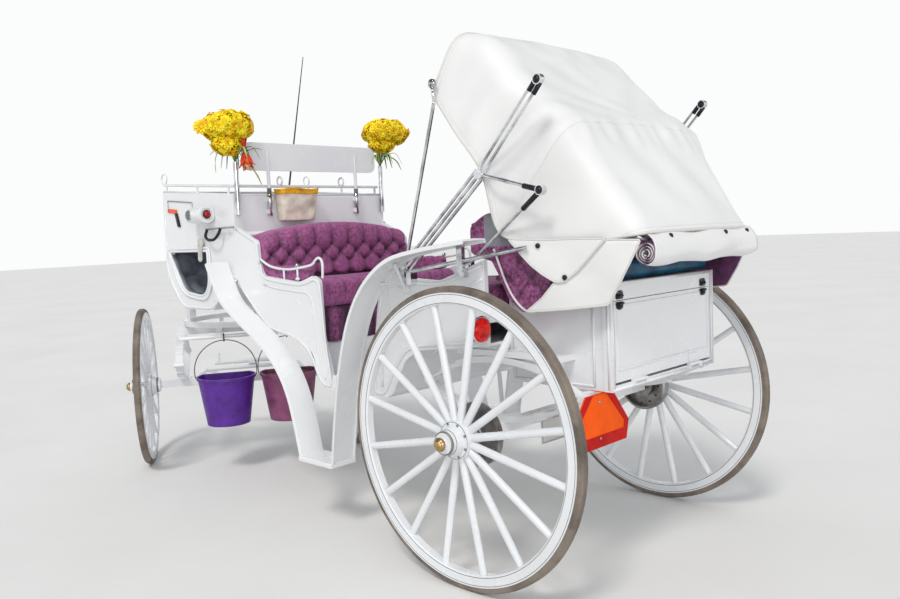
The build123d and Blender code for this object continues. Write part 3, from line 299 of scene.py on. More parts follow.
def stud_tree():
    """A domed head on every point, turned to the point's facing direction."""
    tree, given, result = growth("domed_studs", [("Radius", "NodeSocketFloat"), ("Height", "NodeSocketFloat"),
                                                 ("Finish", "NodeSocketMaterial")])
    head = new_node(tree, "GeometryNodeMeshUVSphere", {"Segments": 14, "Rings": 8, "Radius": 1.0})
    size = new_node(tree, "ShaderNodeCombineXYZ",
                    {0: given["Radius"], 1: given["Radius"], 2: given["Height"]})
    place = new_node(tree, "GeometryNodeInstanceOnPoints", {
        "Points": given["Geometry"], "Instance": head.outputs["Mesh"], "Rotation": aligned(tree),
        "Scale": size.outputs[0]})
    soft = new_node(tree, "GeometryNodeSetShadeSmooth", {"Geometry": place.outputs[0]})
    return made_real(tree, soft.outputs[0], given["Finish"], result)


STUDS = stud_tree()


def studs(name, places, radius, height, material, body="carriage", slot="bright_metal"):
    """Domed heads from (point, facing) pairs as one piece."""
    return grown(name, STUDS, [p for p, f in places], body, slot, [f for p, f in places],
                 Radius=radius, Height=height, Finish=material)


def fore_point(p):
    """A point of the fore-carriage, drawn about the kingpin, where it stands when parked."""
    return Matrix.Rotation(FORE_TURN, 3, "Z") @ Vector(p) + KINGPIN


def lined_enamel(name, centre, turn, rings, half_line):
    """White enamel with thin grey circles about a wheel's axis."""
    mat = surface(name, (0.80, 0.815, 0.83), rough=0.26, coat=0.3, mottle=(2.2, 0.035), grain=(60.0, 0.03))
    tree = mat.node_tree
    colour = tree.nodes["Principled BSDF"].inputs["Base Color"]
    paint = colour.links[0].from_socket
    where = new_node(tree, "ShaderNodeTexCoord")
    centred = new_node(tree, "ShaderNodeMapping", {"Vector": where.outputs["Object"], "Location": centre,
                                                   "Rotation": (0, 0, turn)}, vector_type="TEXTURE")
    flat = new_node(tree, "ShaderNodeVectorMath", {0: centred.outputs[0], 1: (1, 0, 1)}, operation="MULTIPLY")
    far = new_node(tree, "ShaderNodeVectorMath", {0: flat.outputs[0]}, operation="LENGTH")
    total = 0.0
    for ring in rings:
        near = new_node(tree, "ShaderNodeMath", {0: far.outputs["Value"], 1: ring, 2: half_line},
                        operation="COMPARE")
        total = new_node(tree, "ShaderNodeMath", {0: total, 1: near.outputs[0]},
                         operation="MAXIMUM").outputs[0]
    mix = new_node(tree, "ShaderNodeMix", {0: total, 6: paint, 7: (0.16, 0.17, 0.19, 1)}, data_type="RGBA")
    tree.links.new(mix.outputs[2], colour)
    return mat


rubber = surface("worn_rubber", (0.20, 0.165, 0.135), rough=0.88, mottle=(9.0, 0.2), grain=(280.0, 0.5))
brass = surface("brass", (0.48, 0.33, 0.15), rough=0.3, metal=1.0, mottle=(30.0, 0.15), grain=(200.0, 0.1))
bare_iron = surface("bare_iron", (0.30, 0.29, 0.28), rough=0.45, metal=0.9, mottle=(14.0, 0.25),
                    grain=(220.0, 0.2))
# near-black: painted shade for the vent holes of the brake discs
vent_hole_shade = surface("vent_hole_shade", (0.03, 0.03, 0.032), rough=0.7, mottle=(20.0, 0.2))
dress(bare_iron, "brake_rear_left", "brake_rear_right")

# name, hub's middle in the fore-carriage's or the body's axes, radius over the tyre, side
WHEELS = [("rear_left", (0, 0.740, 0.610), 0.610, 1), ("rear_right", (0, -0.740, 0.610), 0.610, -1),
          ("front_left", (0, 0.680, 0.5065), 0.5065, 1), ("front_right", (0, -0.680, 0.5065), 0.5065, -1)]
for name, middle, radius, side in WHEELS:
    front = name.startswith("front")
    hub = fore_point(middle) if front else Vector(middle)
    turn = FORE_TURN if front else 0.0
    out = Matrix.Rotation(turn, 3, "Z") @ Vector((0, side, 0))
    felloe = radius - 0.025
    paint = lined_enamel(f"lined_enamel_{name}", hub + REAR_AXLE, turn,
                         (felloe - 0.007, felloe - 0.040, 0.074, 0.049), 0.0013)
    dress(paint, f"wheel_{name}")
    dress(rubber, f"tyre_{name}")
    face = hub + out * 0.1045
    cap = turned([(0.0, -0.002), (0.0265, -0.002), (0.028, 0.003), (0.0275, 0.010), (0.021, 0.0155),
                  (0.0185, 0.016), (0.0185, 0.0185), (0.013, 0.0225), (0.0, 0.0235)], face, out, 24)
    piece(f"hub_cap_{name}", *cap, brass, body=f"wheel_{name}", slot="bright_metal")
    # pressed band at the hub's outer end and the bolts through its flange
    band = turned([(0.0445, 0.0), (0.0475, 0.0), (0.0475, 0.010), (0.0445, 0.010), (0.0445, 0.0)],
                  hub + out * 0.078, out, 32)
    piece(f"hub_band_{name}", band[0], band[1][:-2], bare_iron, body=f"wheel_{name}", slot="bare_steel")
    across, bolts = Matrix.Rotation(turn, 3, "Z") @ Vector((1, 0, 0)), []
    for k in range(8):
        angle = 2 * pi * (k + 0.5) / 8
        spot = across * (0.068 * cos(angle)) + Vector((0, 0, 0.068 * sin(angle)))
        bolts.append((hub + out * 0.031 + spot, out))
    studs(f"hub_bolts_{name}", bolts, 0.0062, 0.006, bare_iron, body=f"wheel_{name}", slot="bare_steel")
    if not front:
        back = hub - out * 0.0875
        # near-black spots on the disc's back stand for its vent holes: painted shade
        vent_shade_spots = []
        for k in range(12):
            angle = 2 * pi * k / 12
            vent_shade_spots.append((back - out * 0.0425 + Vector((0.095 * cos(angle), 0, 0.095 * sin(angle))), -out))
        studs(f"brake_vent_shade_{name}", vent_shade_spots, 0.007, 0.004, vent_hole_shade, body=f"wheel_{name}", slot="bare_steel")

# Mouldings, fenders and arm rails
# Half-round wooden beads glued round the side panels, steel strips rolled with a lip along both edges
# and welded to the step, and thin bent rails, all under the body's white enamel.

BEAD_Y = 0.5512
BEAD = 0.0085
# the directions along, up and out of a plate on a side of the body, and on the body's rear
SIDEWAYS = ((1, 0, 0), (0, 0, 1), (0, 1, 0))
REARWARD = ((0, 1, 0), (0, 0, 1), (-1, 0, 0))


def joined(*shapes):
    """Several (verts, faces) shapes as one."""
    verts, faces = [], []
    for some_verts, some_faces in shapes:
        start = len(verts)
        verts += some_verts
        faces += [tuple(i + start for i in face) for face in some_faces]
    return verts, faces


def smooth_line(points, steps=8):
    """Catmull-Rom line through points."""
    points = [Vector(p) for p in points]
    line = []
    for i in range(len(points) - 1):
        a, b = points[i], points[i + 1]
        before = points[i - 1] if i else a * 2 - b
        after = points[i + 2] if i + 2 < len(points) else b * 2 - a
        for k in range(steps):
            t = k / steps
            line.append(((a * 2) + (b - before) * t + (before * 2 - a * 5 + b * 4 - after) * t * t
                         + (a * 3 - before - b * 3 + after) * t * t * t) * 0.5)
    return line + [points[-1]]


def heading(line, i):
    """Direction of a line at one of its points."""
    return (line[min(i + 1, len(line) - 1)] - line[max(i - 1, 0)]).normalized()


def tube(line, radius, sides=10, closed=False, flat=1.0, up=None):
    """Round or flattened bar along a line."""
    line = [Vector(p) for p in line]
    count = len(line)
    normal = Vector(up) if up else None
    verts = []
    for i, here in enumerate(line):
        ahead = line[(i + 1) % count] if (closed or i < count - 1) else here
        behind = line[i - 1] if (closed or i) else here
        along = (ahead - behind).normalized()
        if normal is None:
            normal = along.orthogonal().normalized()
        normal = (normal - along * normal.dot(along)).normalized()
        side = along.cross(normal)
        for k in range(sides):
            angle = 2 * pi * k / sides
            verts.append(here + normal * (cos(angle) * radius * flat) + side * (sin(angle) * radius))
    ends = [] if closed else [tuple(range(sides))[::-1], tuple((count - 1) * sides + k for k in range(sides))]
    return verts, quads(count, sides, loop=closed) + ends


def slab(corners, thick, place, across, up, out):
    """Plate from (a, b) corners along across and up, thick towards out."""
    place, across, up, out = Vector(place), Vector(across), Vector(up), Vector(out)
    count = len(corners)
    verts = [place + across * a + up * b for a, b in corners]
    verts += [v + out * thick for v in verts]
    return verts, [tuple(range(count)), tuple(range(count, 2 * count))[::-1]] + quads(2, count)


def bevel(obj, width, segments=2):
    mod = obj.modifiers.new("edge", "BEVEL")
    mod.width = width
    mod.segments = segments
    mod.limit_method = "ANGLE"
    return obj


def bend_round(start, corner, end, steps, last=True):
    """Points of the soft bend between two points about a corner."""
    return [start * (1 - t) ** 2 + corner * (2 * t * (1 - t)) + end * t * t
            for t in (k / steps for k in range(steps + last))]


def cornered(points, closed=False, steps=5):
    """Line through (x, y, z) corners; a fourth value is how far each corner is rounded off."""
    spots = [(Vector(p[:3]), p[3] if len(p) > 3 else 0.0) for p in points]
    line, count = [], len(spots)
    for i, (here, bend) in enumerate(spots):
        if not closed and i in (0, count - 1) or bend == 0:
            line.append(here)
            continue
        before, after = spots[i - 1][0], spots[(i + 1) % count][0]
        start = here + (before - here).normalized() * min(bend, (before - here).length * 0.48)
        end = here + (after - here).normalized() * min(bend, (after - here).length * 0.48)
        line += bend_round(start, here, end, steps)
    return line


def beads(name, lines, radius=BEAD, proud=0.5, y=BEAD_Y):
    """Half-round beads along (x, z, bend) lines of a side panel, on both sides of the body."""
    shapes = []
    for line, closed in lines:
        for side in (1, -1):
            path = cornered([(x, side * y, z, bend) for x, z, bend in line], closed)
            shapes.append(tube(path, radius, 8, closed=closed, flat=proud, up=(0, side, 0)))
    return piece(name, *joined(*shapes), white_paint)


SEAT_EDGE = [(1.842, 1.190, 0), (1.740, 1.098, .05), (1.640, 1.008, .06), (1.560, 0.958, .06),
             (1.480, 0.942, .05), (1.380, 0.931, .05), (1.290, 0.900, .06), (1.210, 0.845, .06),
             (1.150, 0.725, .05), (1.110, 0.688, .03), (1.056, 0.688, .015), (1.058, 0.760, .04),
             (1.086, 0.900, .08), (1.097, 1.080, .08), (1.106, 1.196, .03), (1.126, 1.214, .012),
             (1.158, 1.222, .02), (1.210, 1.204, .03), (1.270, 1.193, .05), (1.400, 1.201, .08),
             (1.560, 1.219, .05), (1.606, 1.234, .03), (1.624, 1.300, .03)]
SEAT_INNER = [(1.598, 1.190, 0), (1.480, 1.172, .08), (1.300, 1.158, .08), (1.205, 1.154, .05),
              (1.170, 1.110, .04), (1.158, 0.980, .08), (1.136, 0.830, .08), (1.106, 0.745, .03),
              (1.100, 0.716, 0)]
REAR_EDGE = [(0.012, 1.289, 0), (0.110, 1.252, .05), (0.220, 1.214, .06), (0.330, 1.207, .06),
             (0.470, 1.213, .04), (0.520, 1.244, .03), (0.560, 1.270, .03), (0.606, 1.256, .03),
             (0.628, 1.245, .015), (0.658, 1.080, .05), (0.690, 0.940, .06), (0.715, 0.780, .05),
             (0.716, 0.690, .02), (0.655, 0.690, .03), (0.606, 0.760, .05), (0.510, 0.900, .08),
             (0.420, 0.932, .06), (0.230, 0.952, .10), (0.012, 0.972, 0)]
REAR_INNER = [(0.012, 1.232, 0), (0.110, 1.196, .05), (0.220, 1.166, .06), (0.340, 1.158, .06),
              (0.470, 1.166, .04), (0.545, 1.200, .03), (0.578, 1.190, .02), (0.604, 1.060, .05),
              (0.636, 0.920, .06), (0.662, 0.800, .05), (0.664, 0.725, 0)]
BOX_EDGE = [(1.862, 1.225, 0), (1.944, 1.224, .03), (2.048, 1.112, .05), (2.138, 1.043, .05),
            (2.492, 1.043, .06), (2.656, 1.245, .08), (2.637, 1.700, 0)]
FOOT_OPENING = [(2.600, 1.378, .012), (2.440, 1.140, .075), (2.215, 1.116, .06), (2.162, 1.190, .035),
                (2.160, 1.374, .012)]


def around(corners, grow):
    """The same closed outline, each corner moved out from its middle."""
    middle = sum((Vector(c[:2]) for c in corners), Vector((0, 0))) / len(corners)
    return [(*(Vector(c[:2]) + (Vector(c[:2]) - middle).normalized() * grow), c[2] + grow * 0.5)
            for c in corners]


beads("seat_side_beads", [(SEAT_EDGE, False), (REAR_EDGE, False), (BOX_EDGE, False)])
beads("seat_side_mouldings", [(SEAT_INNER, False), (REAR_INNER, False)], radius=0.0065)
beads("foot_opening_beads", [(around(FOOT_OPENING, 0.036), True), (around(FOOT_OPENING, 0.008), True)],
      radius=0.0075, proud=0.8, y=0.557)

# gusset between the box and the seat's back, with its own bead
GUSSET = [(1.8495, 1.478), (1.8495, 1.505), (1.830, 1.503), (1.760, 1.472), (1.690, 1.441), (1.652, 1.428),
          (1.640, 1.412), (1.638, 1.360), (1.633, 1.315), (1.660, 1.330)]
for side, word in SIDES:
    plate = slab(GUSSET, side * 0.0215, (0, side * 0.528, 0), *SIDEWAYS)
    bevel(piece(f"seat_gusset_{word}", *plate, white_paint, smooth=False), 0.003)
beads("gusset_beads", [([(1.846, 1.498, 0), (1.760, 1.464, .04), (1.662, 1.424, .03), (1.646, 1.408, .015),
                         (1.644, 1.360, .03), (1.626, 1.302, 0)], False)], radius=0.007)


def strip(points, side):
    """Sheet strip with a lip along both edges, bent along an (x, z) line beside the body."""
    section = [(-0.069, 0.004), (-0.067, 0.001), (-0.062, 0.0), (-0.030, -0.0015), (0.0, -0.002),
               (0.030, -0.0015), (0.062, 0.0), (0.067, 0.001), (0.069, 0.004), (0.069, 0.018),
               (0.0635, 0.018), (0.0625, 0.0075), (0.0, 0.006), (-0.0625, 0.0075), (-0.0635, 0.018),
               (-0.069, 0.018)]
    line = smooth_line([(x, 0, z) for x, z in points], 9)
    verts, count = [], len(section)
    for i, here in enumerate(line):
        along = heading(line, i)
        under = Vector((-along.z, 0, along.x))
        for y, depth in section:
            verts.append(Vector((here.x, side * (0.631 + y), here.z)) + under * depth)
    ends = [tuple(range(count)), tuple((len(line) - 1) * count + k for k in range(count))]
    return verts, quads(len(line), count) + ends


FRONT_FENDER = [(1.925, 1.315), (1.868, 1.217), (1.790, 1.106), (1.640, 1.012), (1.480, 0.924),
                (1.360, 0.840), (1.268, 0.740), (1.208, 0.630), (1.168, 0.500), (1.132, 0.352)]
REAR_FENDER = [(0.900, 0.352), (0.868, 0.540), (0.830, 0.730), (0.785, 0.892), (0.728, 1.040), (0.650, 1.165),
               (0.548, 1.263), (0.420, 1.332), (0.250, 1.366), (0.100, 1.384), (-0.024, 1.398)]
for side, word in SIDES:
    # the underside of a strip lies on the right of its line, seen from the carriage's left
    shapes = [strip(FRONT_FENDER, side), strip(REAR_FENDER, side)]
    for x, z in ((1.868, 1.207), (1.560, 0.958), (0.592, 1.206)):
        shapes.append(tube([(x, side * 0.549, z), (x, side * 0.592, z)], 0.008, 12))
    shapes.append(tube([(0.470, side * 0.557, 1.186), (0.470, side * 0.612, 1.300)], 0.008, 12))
    shapes.append(turned([(0.0, 0.0), (0.024, 0.0), (0.026, 0.003), (0.020, 0.009), (0.0, 0.010)],
                         (0.470, side * 0.5495, 1.186), (0, side, 0), 24))
    fender = piece(f"fender_strips_{word}", *joined(*shapes), white_paint)
    fender.data.set_sharp_from_angle(angle=radians(40))
    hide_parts(f"fender_{word}")
    step = slab([(0.886, 0.552), (1.146, 0.552), (1.146, 0.710), (0.886, 0.710)], 0.024,
                (0, 0, 0.330), (1, 0, 0), (0, side, 0), (0, 0, 1))
    iron = slab([(0.910, 0.440), (0.940, 0.440), (0.940, 0.566), (0.910, 0.566)], 0.010, (0, 0, 0.662),
                (1, 0, 0), (0, side, 0), (0, 0, 1))
    drop = slab([(0.562, 0.667), (0.572, 0.667), (0.597, 0.345), (0.587, 0.345)], 0.030, (0.910, 0, 0),
                (0, side, 0), (0, 0, 1), (1, 0, 0))
    bevel(piece(f"step_{word}", *joined(step, iron, drop), white_paint, smooth=False), 0.004)
    joint = slab([(0.0, -0.069), (0.030, -0.069), (0.030, 0.069), (0.0, 0.069)], 0.0022,
                 (0.8222, side * 0.631, 0.760), (-0.26, 0, 0.966), (0, 1, 0), (0.966, 0, 0.26))
    bevel(piece(f"fender_joint_{word}", *joint, white_paint, smooth=False), 0.0008, 1)

arm_shapes = []
for side in (1, -1):
    y = side * 0.539
    line = smooth_line([(1.640, y, 1.330), (1.585, y, 1.303), (1.530, y, 1.285), (1.440, y, 1.273),
                        (1.350, y, 1.272), (1.260, y, 1.281), (1.195, y, 1.290), (1.163, y, 1.300),
                        (1.142, y, 1.318), (1.115, y, 1.328), (1.092, y, 1.314), (1.086, y, 1.282),
                        (1.091, y, 1.225)], 6)
    arm_shapes.append(tube(line, 0.0068, 12))
    for x, low, high in ((1.420, 1.200, 1.273), (1.300, 1.212, 1.276)):
        arm_shapes.append(tube([(x, y, low), (x, y, high)], 0.0055, 12))
        arm_shapes.append(turned([(0.0, -0.003), (0.013, -0.003), (0.013, 0.003), (0.007, 0.010),
                                  (0.0, 0.010)],
                                 (x, y, low + 0.008), (0, 0, 1), 16))
arm_rail = piece("arm_rail_bars", *joined(*arm_shapes), white_paint)
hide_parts("arm_rails")

# Seats
# Foam on boards under crushed velvet: the backs are drawn down to rows of buttons in diamond pleats,
# the seats have sewn channels along the front edge, and a velvet skirt hangs down to the floor.

def crushed_velvet(name, colour, shade):
    """Velvet whose pile lies in patches, light where it faces one way and dark where it faces another."""
    mat = surface(name, colour, rough=0.62, sheen=0.45, mottle=(60.0, 0.3), grain=(520.0, 0.35), dark=shade)
    tree = mat.node_tree
    shader = tree.nodes["Principled BSDF"].inputs
    shader["Sheen Tint"].default_value = (0.85, 0.45, 0.80, 1)
    pile = shader["Base Color"].links[0]
    pile.from_node.color_ramp.elements[0].position = 0.36
    # painted shade: the colour darkens to near black in the pleats, where the attribute "fold" is 1
    fold = new_node(tree, "ShaderNodeAttribute", attribute_name="fold")
    deep = new_node(tree, "ShaderNodeMix", {0: fold.outputs["Fac"], 6: pile.from_socket,
                                            7: (0.020, 0.003, 0.015, 1)}, data_type="RGBA")
    tree.links.new(deep.outputs[2], shader["Base Color"])
    return mat


velvet = crushed_velvet("crushed_velvet", (0.310, 0.088, 0.222), (0.125, 0.024, 0.088))
button_velvet = crushed_velvet("button_velvet", (0.320, 0.090, 0.230), (0.215, 0.052, 0.150))
# near-black velvet for the buttons: painted shade of the dimples they are drawn into
button_shade_velvet = crushed_velvet("velvet_painted_button_shade", (0.062, 0.016, 0.055), (0.022, 0.004, 0.018))
# pale vinyl of the tub's upper outer faces, which lie in shadow: its grey is partly the vinyl's own and
# partly painted shade
wing_grey_and_shade = surface("wing_vinyl_grey_and_shade", (0.30, 0.31, 0.345), rough=0.75, mottle=(6.0, 0.1), grain=(380.0, 0.3))
white_piping = surface("white_piping", (0.74, 0.73, 0.74), rough=0.45, mottle=(10.0, 0.05),
                       grain=(300.0, 0.2))

TUFT_A, TUFT_B = 0.119, 0.132


def tuft(u, v):
    """Diamond tufting at a place on the cover, 1 at a button and 0 on a crown, and how much painted shade
    lies in its folds.
    Buttons stand every TUFT_A in rows TUFT_B / 2 apart."""
    p, q = u / TUFT_A + v / TUFT_B, u / TUFT_A - v / TUFT_B
    wide = [1 - abs(sin(pi * t)) ** 0.85 for t in (p, q)]
    fine = [1 - abs(sin(pi * t)) ** 0.38 for t in (p, q)]
    sink = 0.42 * max(wide) + 0.58 * wide[0] * wide[1]
    # painted shade: dark along the pleat lines and darkest round the buttons
    dark = min(1.0, 0.70 * max(fine) + 1.6 * fine[0] * fine[1])
    return sink, dark


def ease(x, low, high):
    t = min(1.0, max(0.0, (x - low) / (high - low)))
    return t * t * (3 - 2 * t)


def closed_grid(rows):
    """Faces of a pad given as closed loops of points, with a fan over each end."""
    count = len(rows[0])
    verts = [p for row in rows for p in row]
    faces = quads(len(rows), count)
    for row, start in ((rows[0], 0), (rows[-1], (len(rows) - 1) * count)):
        verts.append(sum(row, Vector()) / count)
        faces += [(start + k, start + (k + 1) % count, len(verts) - 1) for k in range(count)]
    return verts, faces


def rounded(corners, steps):
    """Closed line through corners (a, b, radius), its bends drawn as short arcs, evenly divided."""
    line = []
    for i, (*here, radius) in enumerate(corners):
        here, before = Vector(here), Vector(corners[i - 1][:2])
        after = Vector(corners[(i + 1) % len(corners)][:2])
        start = here + (before - here).normalized() * radius
        end = here + (after - here).normalized() * radius
        line += bend_round(start, here, end, 6)
    lengths = [0.0]
    for i in range(len(line)):
        lengths.append(lengths[-1] + (line[(i + 1) % len(line)] - line[i]).length)
    even, j = [], 0
    for k in range(steps):
        want = lengths[-1] * k / steps
        while lengths[j + 1] < want:
            j += 1
        part = (want - lengths[j]) / max(1e-9, lengths[j + 1] - lengths[j])
        even.append(line[j].lerp(line[(j + 1) % len(line)], part))
    return even


def from_end(share, columns, reach):
    """Rises from 0 at either end of a pad to 1 a few columns in."""
    return min(1.0, min(share, 1 - share) * columns / reach)


def lofted(columns, section):
    """Rows of a pad and how dark their folds are; section gives both at a share of its length."""
    pairs = [section(i / columns) for i in range(columns + 1)]
    return [row for row, shade in pairs], [shade for row, shade in pairs]


def pad(name, rows, folds, material, fill, slot="velvet"):
    """A stuffed piece from closed loops of points; folds gives the painted shade on each point, darkest deep
    in a pleat.
    """
    shares = [share for row in folds for share in row] + [0.0, 0.0]
    obj = piece(name, *closed_grid(rows), material, slot=slot, folds=shares)
    return obj


# Back of the rear-facing seat: front face, rolled top and plain rear face along y
SEAT_HALF = 0.5265
FRONT_ROWS = (1.274, 1.340, 1.406)


def front_back_section(share):
    y = SEAT_HALF * (1 - 2 * share)
    crown = 1.517 - (2.1 - (2.1 ** 2 - y ** 2) ** 0.5)
    end = from_end(share, 150, 3.0)
    pinch = 0.016 * (1 - end) ** 1.5
    centre = Vector((1.70, 1.36))
    row, shade = [], []
    for p in rounded([(1.590, 1.2165, 0.02), (1.600, 1.33, 0.05), (1.592, crown, 0.070), (1.798, crown, 0.05),
                      (1.8205, 1.26, 0.01), (1.690, 1.219, 0.01)], 96):
        out = (p - centre).normalized()
        front = ease(1.76 - p.x, 0.0, 0.08)
        height = p.y - FRONT_ROWS[0] + max(0.0, p.x - 1.60) * 0.8
        sink, dark = tuft(y + TUFT_A / 2, height)
        line = abs(sin(pi * (y + TUFT_A / 2) / TUFT_A))
        # over the last row of buttons the pleats run straight up and over the roll, and under the
        # first they run straight down to the seat
        above = ease(height, TUFT_B - 0.004, TUFT_B + 0.012)
        below = 1 - ease(height, -0.010, 0.004)
        straight = max(above * (1 - ease(height, 0.19, 0.27)), below)
        sink = sink * (1 - above) * (1 - below) + 0.70 * (1 - line ** 0.7) * straight
        dark = dark * (1 - above) * (1 - below) + 0.80 * (1 - line ** 0.34) * straight
        q = p - out * (0.042 * sink * front + pinch)
        q = q + out * (0.0022 * noise.noise(Vector((q.x * 16, y * 16, q.y * 16))) * end)
        row.append(Vector((q.x, y, q.y)))
        # painted shade in the pleats and round the buttons, on the front face only
        shade.append(dark * front * end)
    return row, shade


front_back = pad("front_seat_back_pad", *lofted(150, front_back_section), button_velvet, 0.7)
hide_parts("front_seat_back")
front_buttons = []
for row, z in enumerate(FRONT_ROWS):
    for k in range(-4, 5):
        y = k * TUFT_A + (0 if row % 2 else TUFT_A / 2)
        if abs(y) < 0.49:
            front_buttons.append((Vector((1.6300, y, z)), Vector((-1, 0, 0.1))))
studs("front_seat_buttons", front_buttons, 0.0135, 0.006, button_shade_velvet, slot="velvet")


def box_loop(a_low, a_high, low, high, low_bend, high_bend, steps):
    """Loop round a box section with its bottom and its top corners rounded, and its middle."""
    loop = rounded([(a_low, low, low_bend), (a_low, high, high_bend), (a_high, high, high_bend),
                    (a_high, low, low_bend)], steps)
    return loop, Vector(((a_low + a_high) / 2, (low + high) / 2))


def bell(offset, width):
    """1 at the middle of a crease and 0 a little more than its width away."""
    return 2.718 ** (-(offset / width) ** 2)


def seat_rows(x_back, x_front, low, high):
    """A seat cushion as loops in x and z along y, its front edge in sewn channels."""
    def section(share):
        y = SEAT_HALF * (1 - 2 * share)
        pinch = 0.015 * (1 - from_end(share, 130, 3.5)) ** 1.6
        loop, centre = box_loop(min(x_back, x_front), max(x_back, x_front), low, high, 0.012, 0.045, 72)
        row, shade = [], []
        for p in loop:
            toward = (p.x - x_back) / (x_front - x_back)
            up = ease(p.y, low + 0.02, high - 0.01)
            swell = 0.006 * up * sin(pi * min(1, max(0, toward))) * (1 - (y / SEAT_HALF) ** 4)
            sewn = ease(toward, 0.70, 0.80) * ease(p.y, low + 0.03, low + 0.06)
            channel = 0.013 * (1 - abs(sin(pi * y / 0.105)) ** 0.6) * sewn
            crease = 0.010 * bell(toward - 0.72, 0.018) * up
            q = p - (p - centre).normalized() * (channel + pinch + 0.004 * (1 - up))
            q.y += swell - crease + 0.0025 * up * noise.noise(Vector((p.x * 11, y * 11, 3.0)))
            row.append(Vector((q.x, y, q.y)))
            # painted shade in the sewn channels and along the crease near the front edge
            line = 0.6 * (1 - abs(sin(pi * y / 0.105)) ** 0.25) * sewn
            shade.append(min(1.0, line + 60 * crease))
        return row, shade
    return lofted(130, section)


front_seat = pad("front_seat_pad", *seat_rows(1.632, 1.184, 1.0735, 1.208), button_velvet, 0.6)
rear_seat = pad("rear_seat_pad", *seat_rows(0.042, 0.557, 1.0735, 1.200), velvet, 0.6)


def thicken(obj, thickness, offset=0):
    """Gives a sheet its thickness."""
    made = obj.modifiers.new("cloth", "SOLIDIFY")
    made.thickness, made.offset = thickness, offset
    return made


def skirt(name, x, low, high):
    """Velvet hung in soft folds from the seat's front edge, as a single sheet."""
    columns, steps = 150, 16
    verts, shade = [], []
    for j in range(steps + 1):
        z = high + (low - high) * j / steps
        for i in range(columns + 1):
            y = 0.522 * (1 - 2 * i / columns)
            ripple = sin(y * 47 + 1.1 * sin(y * 13)) + 0.45 * sin(y * 101 + 2)
            puff = 0.006 * sin(pi * j / steps * 2) ** 2 * sin(y * 31)
            verts.append(Vector((x + (0.0075 * ripple * (0.25 + 0.75 * j / steps) + puff), y, z)))
            # painted shade that follows the ripples of the folds, darker still in the top two rows under the
            # cushion's edge
            shade.append(min(0.85, max(0.0, 0.32 + 0.60 * ripple) + 0.35 * (j < 2)))
    obj = piece(name, verts, quads(steps + 1, columns + 1, ring=False), velvet, slot="velvet", folds=shade)
    thicken(obj, 0.003)
    return obj


front_skirt = skirt("front_seat_skirt", 1.205, 0.890, 1.073)
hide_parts("front_seat_cushion")
rear_skirt = skirt("rear_seat_skirt", 0.550, 0.872, 1.073)
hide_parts("rear_seat_cushion")


def arm_rows(side):
    """An arm as loops in y and z, from its rounded front end back into the seat's back."""
    outer, inner = side * SEAT_HALF, side * 0.457

    def section(share):
        x = 1.245 + (1.5985 - 1.245) * share
        pinch = 0.020 * (1 - min(1.0, share * 40 / 4.0)) ** 1.6
        centre = Vector(((outer + inner) / 2, 1.25))
        line = abs(sin(pi * (x - 1.245) / 0.088))
        row, shade = [], []
        for p in rounded([(outer, 1.212, 0.006), (outer, 1.288, 0.026), (inner, 1.288, 0.026),
                          (inner, 1.212, 0.012)], 36):
            drawn = ease(p.y, 1.232, 1.262)
            q = p - (p - centre).normalized() * (0.012 * (1 - line ** 0.6) * drawn + pinch)
            row.append(Vector((x, q.x, q.y)))
            # painted shade in the drawn channels
            shade.append(0.6 * (1 - line ** 0.25) * drawn)
        return row, shade
    return lofted(40, section)


for side, word in SIDES:
    arm = pad(f"front_seat_arm_{word}", *arm_rows(side), button_velvet, 0.8)
    if side == 1:
        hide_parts("front_seat_arms")


# Tub back of the forward-facing seat, from the left wing round behind the seat to the right wing
TUB_HALF, TUB_WALL, TUB_REAR, TUB_FRONT, TUB_BEND = 0.505, 0.078, -0.470, 0.110, 0.2
TUB_WING = TUB_FRONT - (TUB_REAR + TUB_BEND)
TUB_ARC = pi / 2 * TUB_BEND
TUB_LENGTH = 2 * (TUB_WING + TUB_ARC + (TUB_HALF - TUB_BEND))
TUB_FIRST_ROW = 1.12


def tub_plan(share):
    """Place, outward direction and run from the middle on the tub's outer face at a share of its length."""
    run = share * TUB_LENGTH
    mirrored = run > TUB_LENGTH / 2
    run = TUB_LENGTH - run if mirrored else run
    if run < TUB_WING:
        p, out = Vector((TUB_FRONT - run, TUB_HALF)), Vector((0, 1))
    elif run < TUB_WING + TUB_ARC:
        angle = (run - TUB_WING) / TUB_BEND
        p = Vector((TUB_REAR + TUB_BEND - TUB_BEND * sin(angle), TUB_HALF - TUB_BEND + TUB_BEND * cos(angle)))
        out = Vector((-sin(angle), cos(angle)))
    else:
        p, out = Vector((TUB_REAR, TUB_HALF - TUB_BEND - (run - TUB_WING - TUB_ARC))), Vector((-1, 0))
    if mirrored:
        p.y, out.y = -p.y, -out.y
    return p, out, share * TUB_LENGTH - TUB_LENGTH / 2


def tub_low(x):
    """Height of the tub's lower edge: a wing's curve in front, the luggage box behind."""
    points = [(-0.47, 1.2115), (-0.40, 1.2115), (-0.30, 1.150), (-0.20, 1.101), (-0.15, 1.097),
              (-0.085, 1.145), (-0.035, 1.245), (0.0, 1.30), (0.06, 1.315), (0.11, 1.325)]
    for (xa, za), (xb, zb) in zip(points, points[1:]):
        if x <= xb:
            return za + (zb - za) * max(0.0, (x - xa) / (xb - xa))
    return points[-1][1]


def tub_floor(p):
    """Lower edge of the tub's wall at a place of its plan: its inner lip, and its underside."""
    lip = max(tub_low(p.x), 1.236 if abs(p.y) < 0.413 else 0)
    over_cover = ease(0.412 - abs(p.y), 0.0, 0.016) * ease(-0.38 - p.x, 0.0, 0.02)
    return lip, lip + (1.2925 - lip) * over_cover


